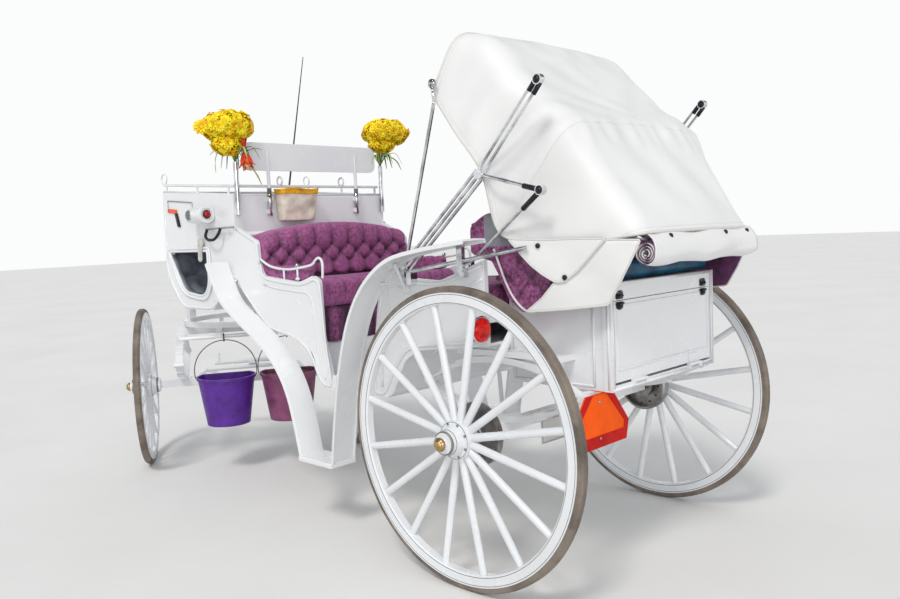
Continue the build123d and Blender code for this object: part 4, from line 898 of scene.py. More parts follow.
def tub_section(share):
    p, out, run = tub_plan(share)
    low, under = tub_floor(p)
    high = 1.500 - 0.03 * ease(p.x, 0.02, TUB_FRONT)
    end = from_end(share, 230, 4.0)
    wall = TUB_WALL * (0.55 + 0.45 * end)
    lip = wall - 0.014
    shrink = 0.012 * (1 - end) ** 1.6
    row, shade = [], []
    for q in rounded([(0.0, under, 0.012), (0.0, high, 0.034), (wall, high, 0.036), (wall, low, 0.005),
                      (lip, low, 0.003), (lip, under, 0.003)], 96):
        foot = low if q.x > wall / 2 else under
        edge = ease(q.y, foot + 0.01, foot + 0.04)
        inside = ease(q.x, wall * 0.55, wall * 0.8) * edge * (1 - ease(q.y, high - 0.035, high - 0.01))
        outside = (1 - ease(q.x, wall * 0.1, wall * 0.3)) * (1 - ease(q.y, 1.34, 1.36)) * edge
        sink_in, dark_in = tuft(run, q.y - TUB_FIRST_ROW)
        sink_out, dark_out = tuft(run + 0.03, q.y - 1.17)
        depth = q.x - 0.026 * sink_in * inside + 0.012 * sink_out * outside
        depth += 0.0015 * noise.noise(Vector((run * 14, q.y * 14, 8.0)))
        at = p - out * max(0.0, depth)
        row.append(Vector((at.x, at.y, q.y + (shrink if q.y < (low + high) / 2 else -shrink))))
        # painted shade in the pleats round the buttons, inside the tub and on its outer face
        shade.append(dark_in * inside + 0.8 * dark_out * outside)
    return row, shade


tub = pad("rear_seat_back_pad", *lofted(230, tub_section), velvet, 0.7)
# the upper outer faces get the grey vinyl, partly painted shade for the shadow they lie in
tub.data.materials.append(wing_grey_and_shade)
for face in tub.data.polygons:
    middle = face.center - REAR_AXLE
    outer_side = face.normal.y * middle.y > 0.35 or face.normal.x < -0.5
    if outer_side and middle.z > 1.362 and middle.x < 0.035:
        face.material_index = 1
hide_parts("rear_seat_back")

tub_buttons = []
for row in range(5):
    z = TUB_FIRST_ROW + row * TUFT_B / 2
    for k in range(-11, 12):
        along = k * TUFT_A + (0 if row % 2 == 0 else TUFT_A / 2)
        share = 0.5 + along / TUB_LENGTH
        if not 0.03 < share < 0.97:
            continue
        p, out, run = tub_plan(share)
        if tub_floor(p)[0] + 0.035 < z < 1.46:
            at = p - out * (TUB_WALL - 0.0240)
            tub_buttons.append((Vector((at.x, at.y, z)), Vector((-out.x, -out.y, 0))))
studs("rear_seat_buttons", tub_buttons, 0.0105, 0.006, button_shade_velvet, slot="velvet")

for side, word in SIDES:
    line = [(-0.020, 1.352), (-0.045, 1.292), (-0.075, 1.222), (-0.112, 1.160), (-0.160, 1.114),
            (-0.205, 1.100), (-0.245, 1.112), (-0.30, 1.152)]
    cord = smooth_line([Vector((x, side * (TUB_HALF + 0.0035), z)) for x, z in line], 6)
    piece(f"wing_piping_{word}", *tube(cord, 0.0048, 8), white_piping, slot="velvet")

def welted_rows(x_low, x_high, half, low, high, bend):
    """A flat pad with welted channels across it."""
    def section(share):
        y = half * (1 - 2 * share)
        pinch = min(0.010, 0.3 * (high - low)) * (1 - from_end(share, 60, 3.0)) ** 1.6
        loop, centre = box_loop(x_low, x_high, low, high, bend / 3, bend, 48)
        row = []
        for p in loop:
            channel = -0.006 * (1 - abs(sin(pi * y / 0.132)) ** 0.4) * ease(p.y, high - 0.026, high - 0.006)
            q = p + (p - centre).normalized() * -pinch
            row.append(Vector((q.x, y, q.y + channel)))
        return row, [0.0] * len(row)
    return lofted(60, section)


# the driver's bench, and the deck between the rear cushion and the back
bench_vinyl = surface("bench_vinyl", (0.42, 0.43, 0.46), rough=0.42, mottle=(5.0, 0.1), grain=(420.0, 0.25))
bench = pad("driver_seat_pad", *welted_rows(1.8735, 2.289, SEAT_HALF, 1.4425, 1.516, 0.03), bench_vinyl, 0.8,
            slot="driver_vinyl")
pad("rear_deck_pad", *welted_rows(-0.386, 0.082, 0.398, 1.2137, 1.240, 0.012), velvet, 0.4)
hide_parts("driver_seat")

# Hood
# One sheet of white coated cloth stretched over three hoops that turn on a pivot each side. A bound
# hem runs round it, loose flaps hang from its sides and its rear curtain is rolled up below it.

hood_vinyl = surface("hood_vinyl", (0.785, 0.782, 0.772), rough=0.5, mottle=(1.6, 0.03), grain=(420.0, 0.16))
hem_binding = surface("hem_binding", (0.69, 0.675, 0.64), rough=0.5, mottle=(3.0, 0.03), grain=(300.0, 0.25))
black_metal = surface("black_metal", (0.018, 0.02, 0.024), rough=0.36, metal=0.55, mottle=(30.0, 0.1),
                      grain=(260.0, 0.1))
# the chrome's darker patches are painted reflections
chrome = surface("chrome", (0.72, 0.73, 0.75), rough=0.10, metal=1.0, mottle=(11.0, 0.1), grain=(300.0, 0.04),
                 dark=(0.26, 0.265, 0.28))
purple_lining = surface("purple_lining", (0.16, 0.05, 0.14), rough=0.7, mottle=(20.0, 0.2),
                        grain=(380.0, 0.3))
dress(chrome, "hood_irons_left", "hood_irons_right", "rear_rails", "hood_bows")

# stations from the front hoop to the rear edge: foot (x, half width, z), shoulder (x, half width, z)
HOOD_ARCHES = [((0.222, 0.578, 2.004), (0.140, 0.508, 2.252)),
               ((0.090, 0.590, 1.835), (-0.010, 0.494, 2.208)),
               ((-0.050, 0.596, 1.660), (-0.240, 0.492, 1.974)),
               ((-0.090, 0.557, 1.430), (-0.400, 0.502, 1.838)),
               ((-0.225, 0.542, 1.368), (-0.492, 0.482, 1.692)),
               ((-0.375, 0.516, 1.262), (-0.590, 0.452, 1.534)),
               ((-0.540, 0.466, 1.376), (-0.667, 0.418, 1.396))]
# points up a side, round a shoulder and over the top of an arch, rows between stations, and the sewn station
ARCH_SIDE, ARCH_BEND, ARCH_TOP = 12, 7, 12
ARCH_STEPS, SEAM_STATION = 8, 3


def stitch_tree():
    """Short stitches along a chain of edges, one at each step of the spacing."""
    tree, given, result = growth("stitch_row", [("Spacing", "NodeSocketFloat"), ("Thread", "NodeSocketFloat"),
                                                ("Finish", "NodeSocketMaterial")])
    line = new_node(tree, "GeometryNodeMeshToCurve", {"Mesh": given["Geometry"]})
    steps = new_node(tree, "GeometryNodeResampleCurve",
                     {"Curve": line.outputs[0], "Length": given["Spacing"]}, mode="LENGTH")
    stitch = new_node(tree, "GeometryNodeMeshUVSphere", {"Segments": 6, "Rings": 4, "Radius": 1.0})
    half = new_node(tree, "ShaderNodeMath", {0: given["Spacing"], 1: 0.36}, operation="MULTIPLY")
    size = new_node(tree, "ShaderNodeCombineXYZ",
                    {0: given["Thread"], 1: given["Thread"], 2: half.outputs[0]})
    along = new_node(tree, "GeometryNodeInputTangent")
    place = new_node(tree, "GeometryNodeInstanceOnPoints", {
        "Points": steps.outputs[0], "Instance": stitch.outputs["Mesh"],
        "Rotation": aligned(tree, along.outputs[0]), "Scale": size.outputs[0]})
    return made_real(tree, place.outputs[0], given["Finish"], result)


STITCHES = stitch_tree()


def refine(obj):
    """Subdivision surface over a coarse cage."""
    mod = obj.modifiers.new("smooth", "SUBSURF")
    mod.levels = mod.render_levels = 1


def arch(foot, shoulder):
    """Points over one hoop, from the left foot across to the right one."""
    rise = Vector((shoulder[0] - foot[0], 0, shoulder[2] - foot[2]))
    span = rise.length
    rise.normalize()
    bend = min(0.105, span * 0.4)

    def at(y, height):
        return Vector((foot[0], y, foot[2])) + rise * height
    lean = (foot[1] - shoulder[1]) / span
    start = at(shoulder[1] + lean * bend, span - bend)
    corner, end = at(shoulder[1], span + 0.004), at(shoulder[1] - bend, span + 0.002)
    half = [at(foot[1], 0).lerp(start, k / ARCH_SIDE) for k in range(ARCH_SIDE)]
    half += bend_round(start, corner, end, ARCH_BEND, last=False)
    for k in range(ARCH_TOP):
        t = k / ARCH_TOP
        half.append(at(end.y * (1 - t), span + 0.002 + 0.008 * sin(t * pi / 2)))
    middle = at(0, span + 0.010)
    return half + [middle] + [Vector((p.x, -p.y, p.z)) for p in reversed(half)]


def hood_rows():
    arches = [arch(foot, shoulder) for foot, shoulder in HOOD_ARCHES]
    columns = [smooth_line([row[k] for row in arches], ARCH_STEPS) for k in range(len(arches[0]))]
    return [[column[i] for column in columns] for i in range(len(columns[0]))]


def fold_depth(t, y, side):
    """How far the cloth stands off its smooth form: t counts stations, side is 1 on the flanks."""
    crease = 0.006 * bell(t - SEAM_STATION, 0.10)
    pleats = 0.0080 * sin(y * 62 + 1.5 * sin(y * 17)) * bell(t - SEAM_STATION - 0.35, 0.35)
    hollow = -0.010 * (1 - 1.5 * side) * sin(pi * t / 3) if t < 3 else -0.008 * sin(pi * (t - 3) / 3)
    drape = 0.0035 * sin(t * 4.1 + y * 3.0) * side
    # slack wrinkles: long soft folds that run from the pivots to the shoulders and fan out behind
    fan = 0.0085 * sin(t * 8.5 + abs(y) * 26) * (0.35 + 0.65 * side) * bell(t - 2.2, 1.1)
    slack = 0.0075 * sin(y * 21 + t * 2.2) * bell(t - 4.6, 0.9) * (1 - side)
    return crease + pleats * (1 - 0.5 * side) + hollow + drape + fan + slack


def lined_cloth(obj, thickness, inside):
    """Thickness for a sheet whose side towards a point is the purple lining."""
    mesh, inside = obj.data, Vector(inside) + REAR_AXLE
    if sum(f.area * f.normal.dot(f.center - inside) for f in mesh.polygons) < 0:
        mesh.flip_normals()
    mesh.materials.append(purple_lining)
    thicken(obj, thickness).material_offset = 1


rows = hood_rows()
last, across = len(rows) - 1, len(rows[0])
middle_column = (across - 1) / 2
verts = []
for i, row in enumerate(rows):
    t = i / ARCH_STEPS
    for k, p in enumerate(row):
        ahead = rows[min(i + 1, last)][k] - rows[max(i - 1, 0)][k]
        beside = row[min(k + 1, across - 1)] - row[max(k - 1, 0)]
        out = beside.cross(ahead).normalized()
        flank = min(1.0, max(0.0, (abs(k - middle_column) - ARCH_TOP) / ARCH_BEND))
        edge = min(1.0, min(i, last - i) / 4, min(k, across - 1 - k) / 3)
        lift = fold_depth(t, p.y, flank) + 0.004 * noise.noise(p * 5.0)
        verts.append(p - out * lift * edge)
hood_cloth = piece("hood_cloth", verts, quads(len(rows), across, ring=False), hood_vinyl, slot="hood_cloth")
lined_cloth(hood_cloth, 0.003, (0.0, 0.0, 1.5))
refine(hood_cloth)
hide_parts("hood_cover")

left_foot, right_foot = verts[::across], verts[across - 1::across]
round_edge = left_foot + verts[last * across + 1:] + right_foot[-2::-1] + verts[across - 2:0:-1]
piece("hood_hem", *tube(round_edge, 0.0065, 8, closed=True), hem_binding, slot="hood_cloth")


def set_in(i, k):
    """A point of the cloth, pushed a little outwards so that sewing lies on it."""
    p = verts[i * across + k]
    beside = verts[i * across + min(k + 1, across - 1)] - verts[i * across + max(k - 1, 0)]
    ahead = verts[min(i + 1, last) * across + k] - verts[max(i - 1, 0) * across + k]
    return p - beside.cross(ahead).normalized() * 0.0022


sewn = [set_in(i, 1) for i in range(1, last)] + [set_in(last - 1, k) for k in range(1, across - 1)]
sewn += [set_in(i, across - 2) for i in range(last - 1, 0, -1)]
sewn += [set_in(1, k) for k in range(across - 2, 0, -1)]
hoop_row = [set_in(SEAM_STATION * ARCH_STEPS + 1, k) for k in range(1, across - 1)]
for name, line in (("hood_hem_stitches", sewn), ("hood_hoop_stitches", hoop_row)):
    grown(name, STITCHES, line, "carriage", "hood_cloth", Spacing=0.012, Thread=0.0009, Finish=hem_binding)

# Hood's flaps, buttons, knuckles and rolled curtain
# The flaps are loose tails of the same cloth, bound round their edges, and turn-buttons hold them. The
# rear curtain is rolled up with its dark purple lining inwards and buttoned to the hood's rear edge.


def slanted(x, z, stand=0.0):
    """A point beside the hood's flank, which closes in towards the rear."""
    return Vector((x, 0.5586 + (x + 0.212) * 0.2493 + stand, z))


def filled(edge, rings):
    """Sheet inside a closed edge, drawn as rings that shrink to its middle."""
    count = len(edge)
    middle = sum(edge, Vector()) / count
    verts = []
    for j in range(rings):
        share = j / rings
        verts += [p.lerp(middle, share) for p in edge]
    verts.append(middle)
    faces = quads(rings, count)
    faces += [((rings - 1) * count + i, (rings - 1) * count + (i + 1) % count, len(verts) - 1)
              for i in range(count)]
    return verts, faces


def sharp_line(points, steps=6, bend=0.012):
    """Closed line with its corners only slightly rounded."""
    def toward(a, b):
        return a + (b - a).normalized() * min(bend, (b - a).length * 0.4)
    line = []
    for i, b in enumerate(points):
        a, c = points[i - 1], points[(i + 1) % len(points)]
        end, far = toward(b, c), toward(c, b)
        line += bend_round(toward(b, a), b, end, 3) + [end.lerp(far, k / steps) for k in range(1, steps)]
    return line


UPPER_FLAP = [(-0.160, 1.392), (-0.200, 1.345), (-0.250, 1.290), (-0.302, 1.249), (-0.351, 1.221),
              (-0.383, 1.224), (-0.431, 1.262), (-0.487, 1.320), (-0.545, 1.380), (-0.420, 1.383),
              (-0.300, 1.383)]
LOWER_FLAP = [(-0.400, 1.258), (-0.345, 1.226), (-0.289, 1.161), (-0.213, 1.106), (-0.295, 1.111),
              (-0.395, 1.119), (-0.481, 1.128), (-0.541, 1.135), (-0.588, 1.209), (-0.630, 1.290),
              (-0.668, 1.372), (-0.545, 1.376), (-0.470, 1.330)]
for side, word in SIDES:
    def flap(name, corners, stand, sway):
        edge = sharp_line([slanted(x, z, stand) for x, z in corners])
        shape, skin = filled(edge, 10)
        for p in shape:
            depth = sway * sin(p.x * 19 + (1.36 - p.z) * 9) * min(1.0, max(0.0, (1.375 - p.z) / 0.12))
            p.y += depth + 0.002 * noise.noise(p * 14)
        shape = [Vector((p.x, side * p.y, p.z)) for p in shape]
        obj = piece(name, shape, skin, hood_vinyl, slot="hood_cloth")
        lined_cloth(obj, 0.0028, (-0.3, 0.0, 1.25))
        rim = tube(shape[:len(edge)], 0.0036, 8, closed=True)
        binding = piece(name + "_binding", *rim, hem_binding, slot="hood_cloth")
        return obj
    lower = flap(f"lower_flap_{word}", LOWER_FLAP, 0.0015, 0.006)
    flap(f"upper_flap_{word}", UPPER_FLAP, 0.0105, 0.005)
    if side == 1:
        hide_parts("hood_flaps")

turn_buttons = []
for side in (1, -1):
    for x, z in ((-0.285, 1.362), (-0.388, 1.240)):
        p = slanted(x, z, 0.016)
        turn_buttons.append((Vector((p.x, side * p.y, p.z)), Vector((0, side, 0))))
for y in (0.271, -0.167, -0.36):
    turn_buttons.append((Vector((-0.6895, y, 1.380)), Vector((-1, 0, 0.35))))
studs("hood_turn_buttons", turn_buttons, 0.0105, 0.0085, black_metal)

knuckles = []
KNUCKLE = [(0.0, -0.013), (0.0155, -0.013), (0.0180, -0.010), (0.0180, 0.010), (0.0155, 0.013),
           (0.010, 0.0135), (0.0085, 0.0175), (0.0, 0.0185)]
# ferrules on the irons' ends: start and end (x, z), how far it leads inwards to the seat's rail, radius
FERRULES = [((-0.355, 1.570), (-0.275, 1.590), 0, 0.0105),
            ((-0.353, 1.566), (-0.252, 1.505), 0.096 * 0.223, 0.0105),
            ((-0.370, 1.956), (-0.338, 1.920), 0, 0.0095), ((-0.347, 1.968), (-0.318, 1.934), 0, 0.0095)]
for side in (1, -1):
    y = side * 0.616
    knuckles += [turned(KNUCKLE, (x, y, z), (0, side, 0), 20) for x, z in ((-0.363, 1.970), (-0.356, 1.570))]
    knuckles += [tube([(xa, y, za), (xb, y - side * inwards, zb)], r, 12)
                 for (xa, za), (xb, zb), inwards, r in FERRULES]
piece("iron_knuckles", *joined(*knuckles), black_metal, slot="bright_metal")

# catches that join the front hoop's feet to the long irons, and the ball posts of the arm rails
catches = []
for side in (1, -1):
    catches.append(turned([(0.0, -0.010), (0.016, -0.010), (0.019, -0.006), (0.019, 0.006), (0.014, 0.011),
                           (0.0, 0.013)], (0.200, side * 0.600, 2.040), (0, side, 0), 20))
    catches.append(tube([(0.200, side * 0.606, 2.040), (0.180, side * 0.612, 1.962)], 0.0065, 12))
    catches.append(turned([(0.0, -0.012), (0.006, -0.011), (0.010, -0.007), (0.0125, 0.0), (0.010, 0.007),
                           (0.006, 0.011), (0.0, 0.012)], (1.300, side * 0.539, 1.291), (0, 0, 1), 18))
piece("hoop_catches", *joined(*catches), chrome, slot="bright_metal")

# curtain: it hangs from the rear hem and is rolled round itself, its end showing the turns
ROLL_X, ROLL_Z, ROLL_HALF = -0.665, 1.320, 0.413
ROLL_TURNS, ROLL_STEPS = 3.4, 120
spiral = []
for k in range(ROLL_STEPS + 1):
    share = k / ROLL_STEPS
    angle = pi + (1 - share) * ROLL_TURNS * 2 * pi
    radius = 0.009 + 0.0345 * share
    spiral.append((radius * cos(angle), radius * sin(angle)))
spiral += [(-0.0425, 0.018), (-0.0375, 0.036), (-0.0290, 0.053), (-0.0180, 0.066), (-0.0080, 0.073)]
verts = []
columns = 60
for i in range(columns + 1):
    y = ROLL_HALF * (1 - 2 * i / columns)
    for k, (a, b) in enumerate(spiral):
        rolled = k <= ROLL_STEPS
        loose = min(1.0, k / ROLL_STEPS) if rolled else 0.5
        slack = 0.0042 * loose * sin(y * 19 + k * 0.13)
        slack += 0.0060 * loose * noise.noise(Vector((y * 7, a * 30, b * 30)))
        sag = -0.004 * (1 - (y / ROLL_HALF) ** 2) * (1 if rolled else max(0.0, (ROLL_STEPS + 5 - k) / 5))
        grow = 1 + slack / 0.045
        verts.append(Vector((ROLL_X + a * grow, y, ROLL_Z + b * grow + sag)))
curtain = piece("curtain_roll_cloth", verts, quads(columns + 1, len(spiral), ring=False), hood_vinyl,
                slot="hood_cloth")
curtain.data.materials.append(purple_lining)
thick = thicken(curtain, 0.0035)
thick.use_quality_normals = True
thick.material_offset_rim = 1
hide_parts("curtain_roll")

# Driver's box
# Dark felt lines the foot well. A round steel rail with rein rings and chrome tubes are bolted to the
# white panels; bullet lamps, bent handles, foot levers and reflectors stand on their outer faces.

lining = surface("felt_lining", (0.165, 0.180, 0.220), rough=0.9, mottle=(9.0, 0.25), grain=(420.0, 0.35))
red_glass = surface("red_glass", (0.42, 0.006, 0.008), rough=0.10, mottle=(40.0, 0.15), grain=(90.0, 0.05),
                    specular=0.3)
orange_enamel = surface("orange_enamel", (0.80, 0.10, 0.03), rough=0.4, mottle=(20.0, 0.1),
                        grain=(200.0, 0.1))
steel_grey = surface("grey_steel", (0.36, 0.37, 0.38), rough=0.35, metal=0.7, mottle=(12.0, 0.1),
                     grain=(160.0, 0.1))
worn_zinc = surface("worn_zinc", (0.56, 0.55, 0.52), rough=0.55, mottle=(26.0, 0.12), grain=(200.0, 0.2))
dress(chrome, "vases")
dress(white_paint, "seat_rail", "backrest_board", "whip_socket")


def lined(name, path, half, thick, material):
    """Soft lining of even thickness along an (x, z) path, its first side against the box."""
    line = cornered([(x, 0, z, bend) for x, z, bend in path])
    verts = []
    for i, here in enumerate(line):
        along = heading(line, i)
        inward = Vector((along.z, 0, -along.x)) * thick
        for y, lift in ((-half, 0.0), (half, 0.0), (half - 0.002, 1.0), (-half + 0.002, 1.0)):
            verts.append(Vector((here.x, y, here.z)) + inward * lift)
    faces = quads(len(line), 4) + [(0, 1, 2, 3), tuple(len(verts) - 4 + k for k in range(4))]
    bevel(piece(name, verts, faces, material, slot="driver_vinyl"), 0.001, 1)


lined("foot_well_lining", [(2.6385, 1.690, 0), (2.6455, 1.262, .04), (2.485, 1.0545, .05),
                           (2.148, 1.0545, 0)], SEAT_HALF, -0.004, lining)
lined("riser_lining", [(2.1435, 1.062, 0), (2.1435, 1.400, 0)], SEAT_HALF, 0.004, lining)
PAD_Y, PAD_Z, PAD_SIDES = 0.445, 1.285, 32
knee_pad = turned([(0.0, 0.0), (0.070, 0.0), (0.079, 0.006), (0.080, 0.014), (0.070, 0.024), (0.045, 0.030),
                   (0.0, 0.032)], (2.6375, PAD_Y, PAD_Z), (-1, 0, 0), PAD_SIDES)
piece("knee_pad", *knee_pad, lining, slot="driver_vinyl")
pad_rim = [(2.620, PAD_Y + 0.0795 * cos(a), PAD_Z + 0.0795 * sin(a))
           for a in (2 * pi * k / PAD_SIDES for k in range(PAD_SIDES))]
piece("knee_pad_piping", *tube(pad_rim, 0.0045, 8, closed=True), lining, slot="driver_vinyl")

LAMP_X, LAMP_Y, LAMP_Z, PANE_X = 2.098, 0.601, 1.588, 2.180
LAMP_BODY = [(0.0, -0.150), (0.018, -0.147), (0.034, -0.136), (0.044, -0.116), (0.048, -0.090),
             (0.048, 0.030), (0.051, 0.032), (0.052, 0.044), (0.049, 0.048), (0.036, 0.048), (0.034, 0.042),
             (0.0, 0.040)]
LAMP_FOOT = [(0.0, -0.004), (0.024, -0.004), (0.024, 0.002), (0.014, 0.008), (0.014, 0.052), (0.0, 0.052)]
LAMP_PANE = [(0.0, 0.036), (0.028, 0.036), (0.030, 0.044), (0.026, 0.0495), (0.0, 0.0505)]
LAMP_RIM = [(0.0, 0.043), (0.0245, 0.043), (0.025, 0.048), (0.0195, 0.052), (0.0, 0.052)]
LAMP_LENS = [(0.0, 0.050), (0.019, 0.050), (0.018, 0.055), (0.013, 0.060), (0.0, 0.063)]
FOOT_LEVER = [(2.176, 1.440), (2.186, 1.452), (2.220, 1.452), (2.231, 1.440), (2.240, 1.330), (2.228, 1.318),
              (2.206, 1.318), (2.196, 1.330), (2.192, 1.400), (2.182, 1.408)]
LEVER_BOSS = [(2.186, 1.418), (2.206, 1.418), (2.206, 1.446), (2.186, 1.446)]
DASH_REFLECTOR = [(2.484, 1.609), (2.590, 1.621), (2.590, 1.645), (2.484, 1.633)]
DASH_STRAP = [(2.478, 1.612), (2.512, 1.616), (2.484, 1.531), (2.450, 1.527)]
DASH_PLATE = [(2.290, 1.560), (2.365, 1.560), (2.365, 1.615), (2.290, 1.615)]
lamps, panes, slots, rims, lenses, rods, handles, levers, reflectors, straps, plates = ([] for _ in range(11))
for side in (1, -1):
    def at(x, y, z, *bend):
        return (x, side * y, z, *bend)
    # bullet lamp, its lens to the rear and a slotted pane on its outer side
    lamp, out = at(LAMP_X, LAMP_Y, LAMP_Z), (0, side, 0)
    lamps += [turned(LAMP_BODY, lamp, (-1, 0, 0), 36), turned(LAMP_FOOT, at(2.120, 0.5505, LAMP_Z), out, 20)]
    panes.append(turned(LAMP_PANE, at(PANE_X, LAMP_Y, LAMP_Z), out, 28))
    for k in range(-2, 3):
        half, z = (0.024 ** 2 - (0.009 * k) ** 2) ** 0.5, LAMP_Z + 0.009 * k
        slots.append(tube([at(PANE_X - half, 0.6513, z), at(PANE_X + half, 0.6513, z)], 0.0018, 6))
    rims.append(turned(LAMP_RIM, lamp, (-1, 0, 0), 28))
    lenses.append(turned(LAMP_LENS, lamp, (-1, 0, 0), 28))
    # grey rod under the lamp with a black handle below it
    rod = [at(2.125, 0.549, 1.503), at(2.125, 0.575, 1.503, .010), at(1.862, 0.575, 1.507, .010),
           at(1.862, 0.549, 1.507)]
    rods.append(tube(cornered(rod), 0.005, 10))
    handle = [at(2.105, 0.575, 1.503), at(2.108, 0.590, 1.462, .016), at(2.060, 0.598, 1.440, .02),
              at(1.995, 0.598, 1.442, .02), at(1.962, 0.590, 1.470, .014), at(1.960, 0.575, 1.504)]
    handles.append(tube(cornered(handle), 0.0085, 12))
    levers += [slab(FOOT_LEVER, side * 0.006, at(0, 0.5645, 0), *SIDEWAYS),
               slab(LEVER_BOSS, side * 0.014, at(0, 0.5505, 0), *SIDEWAYS)]
    # red reflector, its strap and a thin steel frame by the dash
    reflectors.append(slab(DASH_REFLECTOR, side * 0.008, at(0, 0.5505, 0), *SIDEWAYS))
    straps.append(slab(DASH_STRAP, side * 0.006, at(0, 0.5505, 0), *SIDEWAYS))
    frame_line = [at(2.588, 0.5525, 1.650), at(2.588, 0.5525, 1.692), at(2.298, 0.5525, 1.667),
                  at(2.298, 0.5525, 1.620)]
    plates += [tube(frame_line, 0.0035, 8), slab(DASH_PLATE, side * 0.007, at(0, 0.5505, 0), *SIDEWAYS)]
bullet = piece("bullet_lamps", *joined(*lamps), white_paint)
bullet.data.set_sharp_from_angle(angle=radians(50))
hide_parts("side_fittings")
for name, shapes, finish, slot in (("bullet_lamp_rims", rims, black_metal, "bare_steel"),
                                   ("bullet_lamp_lenses", lenses, red_glass, "lamp_red"),
                                   ("side_handles", handles, black_metal, "bare_steel"),
                                   ("side_rods", rods, steel_grey, "bare_steel"),
                                   ("bullet_lamp_panes", panes, steel_grey, "bare_steel"),
                                   ("dash_straps", straps, black_metal, "driver_vinyl"),
                                   ("lamp_slots", slots, black_metal, "bare_steel")):
    piece(name, *joined(*shapes), finish, slot=slot)
bevel(piece("foot_levers", *joined(*levers), worn_zinc, smooth=False, slot="bare_steel"), 0.0015)
bevel(piece("dash_reflectors", *joined(*reflectors), orange_enamel, slot="emblem_orange"), 0.002)
bevel(piece("side_plates", *joined(*plates), steel_grey, smooth=False, slot="bare_steel"), 0.0012, 1)

# the lining is turned out over the cut edges of the side openings
sleeve_parts = []
hole = cornered([(x, 0, z, bend) for x, z, bend in FOOT_OPENING], closed=True)
hole_middle = sum(hole, Vector()) / len(hole)
for side in (1, -1):
    verts = []
    for p in hole:
        inner = p + (hole_middle - p).normalized() * 0.0015
        square = ((p, 0.5275), (p, 0.5500), (inner, 0.5500), (inner, 0.5275))
        verts += [(q.x, side * y, q.z) for q, y in square]
    sleeve_parts.append((verts, quads(len(hole), 4, loop=True)))
piece("opening_edges", *joined(*sleeve_parts), lining, slot="driver_vinyl")

# caps over the panels' top edges and bolts of the tubes
CAP_LINES = [[(2.646, 0.539, 1.7505), (1.852, 0.539, 1.6865)],
             [(2.646, -0.539, 1.7505), (1.852, -0.539, 1.6865)],
             [(1.861, -0.545, 1.6868), (1.861, 0.545, 1.6868)],
             [(2.6445, -0.545, 1.7505), (2.6445, 0.545, 1.7505)]]
caps = [tube(line, 0.0125, 12, flat=0.45, up=(0, 0, 1)) for line in CAP_LINES]
piece("box_caps", *joined(*caps), white_paint)
sleeves = [tube([(1.834, side * 0.320, 1.566), (1.834, side * 0.320, 1.722)], 0.0135, 16) for side in (1, -1)]
piece("post_sleeves", *joined(*sleeves), chrome, slot="bright_metal")
clip_bolts = [(Vector((1.8395, side * 0.320, z)), Vector((-1, 0, 0))) for side in (1, -1)
              for z in (1.590, 1.660)]
studs("post_bolts", clip_bolts, 0.0065, 0.005, steel_grey, slot="bare_steel")

# Bag
# A soft open bag of cream cloth with an orange rim band, hung on the back wall. It sags and folds
# towards its narrower foot; the cloth is one lofted shell.

cream_cloth = surface("cream_cloth", (0.78, 0.70, 0.58), rough=0.85, mottle=(14.0, 0.12), grain=(340.0, 0.4),
                      sheen=0.2)
orange_band = surface("orange_band", (0.95, 0.42, 0.01), rough=0.6, mottle=(24.0, 0.2), grain=(340.0, 0.3))


BAG_SIDES = 72


def bag_ring(share):
    """Outline of the bag at a height, from its foot at 0 to its rim at 1."""
    half, deep, z = 0.113 + 0.021 * share, 0.040 + 0.010 * share, 1.532 + 0.178 * share
    middle_x, ring = 1.8465 - deep, []
    for k in range(BAG_SIDES):
        a = 2 * pi * k / BAG_SIDES
        c, s = cos(a), sin(a)
        x = deep * (abs(c) ** 0.55) * (1 if c > 0 else -1)
        y = half * (abs(s) ** 0.42) * (1 if s > 0 else -1)
        free = 1.0 if x < 0 else 0.0
        slack = 0.006 * sin(share * 7.0 + y * 21) * sin(pi * min(1.0, share * 1.06)) * free
        slack += 0.0045 * noise.noise(Vector((y * 26, share * 5, x * 30))) * free
        dip = 0.004 * sin(y * 30) * share ** 6 * free
        ring.append(Vector((middle_x + x + slack, 0.158 + y, z + dip)))
    return ring


# the cloth: rings from the foot to the rim, and a floor in the first one
BAG_ROWS = 24
verts = [p for row in range(BAG_ROWS + 1) for p in bag_ring(row / BAG_ROWS)]
verts.append(sum(verts[:BAG_SIDES], Vector()) / BAG_SIDES)
faces = quads(BAG_ROWS + 1, BAG_SIDES)
faces += [(k, (k + 1) % BAG_SIDES, len(verts) - 1) for k in range(BAG_SIDES)]
bag_shell = piece("bag_shell", verts, faces, cream_cloth, slot="bag_cloth")
thicken(bag_shell, 0.003, -1)
refine(bag_shell)
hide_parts("bag")
# the band lies on the cloth's outer side, and only its part against the wall is flush
centre_line = Vector((1.80, 0.158, 0))
verts = [p + (Vector((p.x, p.y, 0)) - centre_line).normalized() * (0.0032 if p.x < 1.845 else 0.0)
         for share in (0.86, 0.90, 0.95, 1.0) for p in bag_ring(share)]
band = piece("bag_band", verts, quads(4, BAG_SIDES), orange_band, slot="bag_cloth")
thicken(band, 0.0022)
refine(band)
rim_line = [p + Vector((0, 0, 0.003)) for p in verts[-BAG_SIDES:]]
rim_cord = piece("bag_rim_cord", *tube(rim_line, 0.0045, 8, closed=True), orange_band, slot="bag_cloth")

# Bouquets
# Bunches of yellow flowers with thin curled petals of dyed silk, a red lily on the left one and long
# green leaves, pushed into the chrome tubes. Petals and flower heads are grown on seed points.

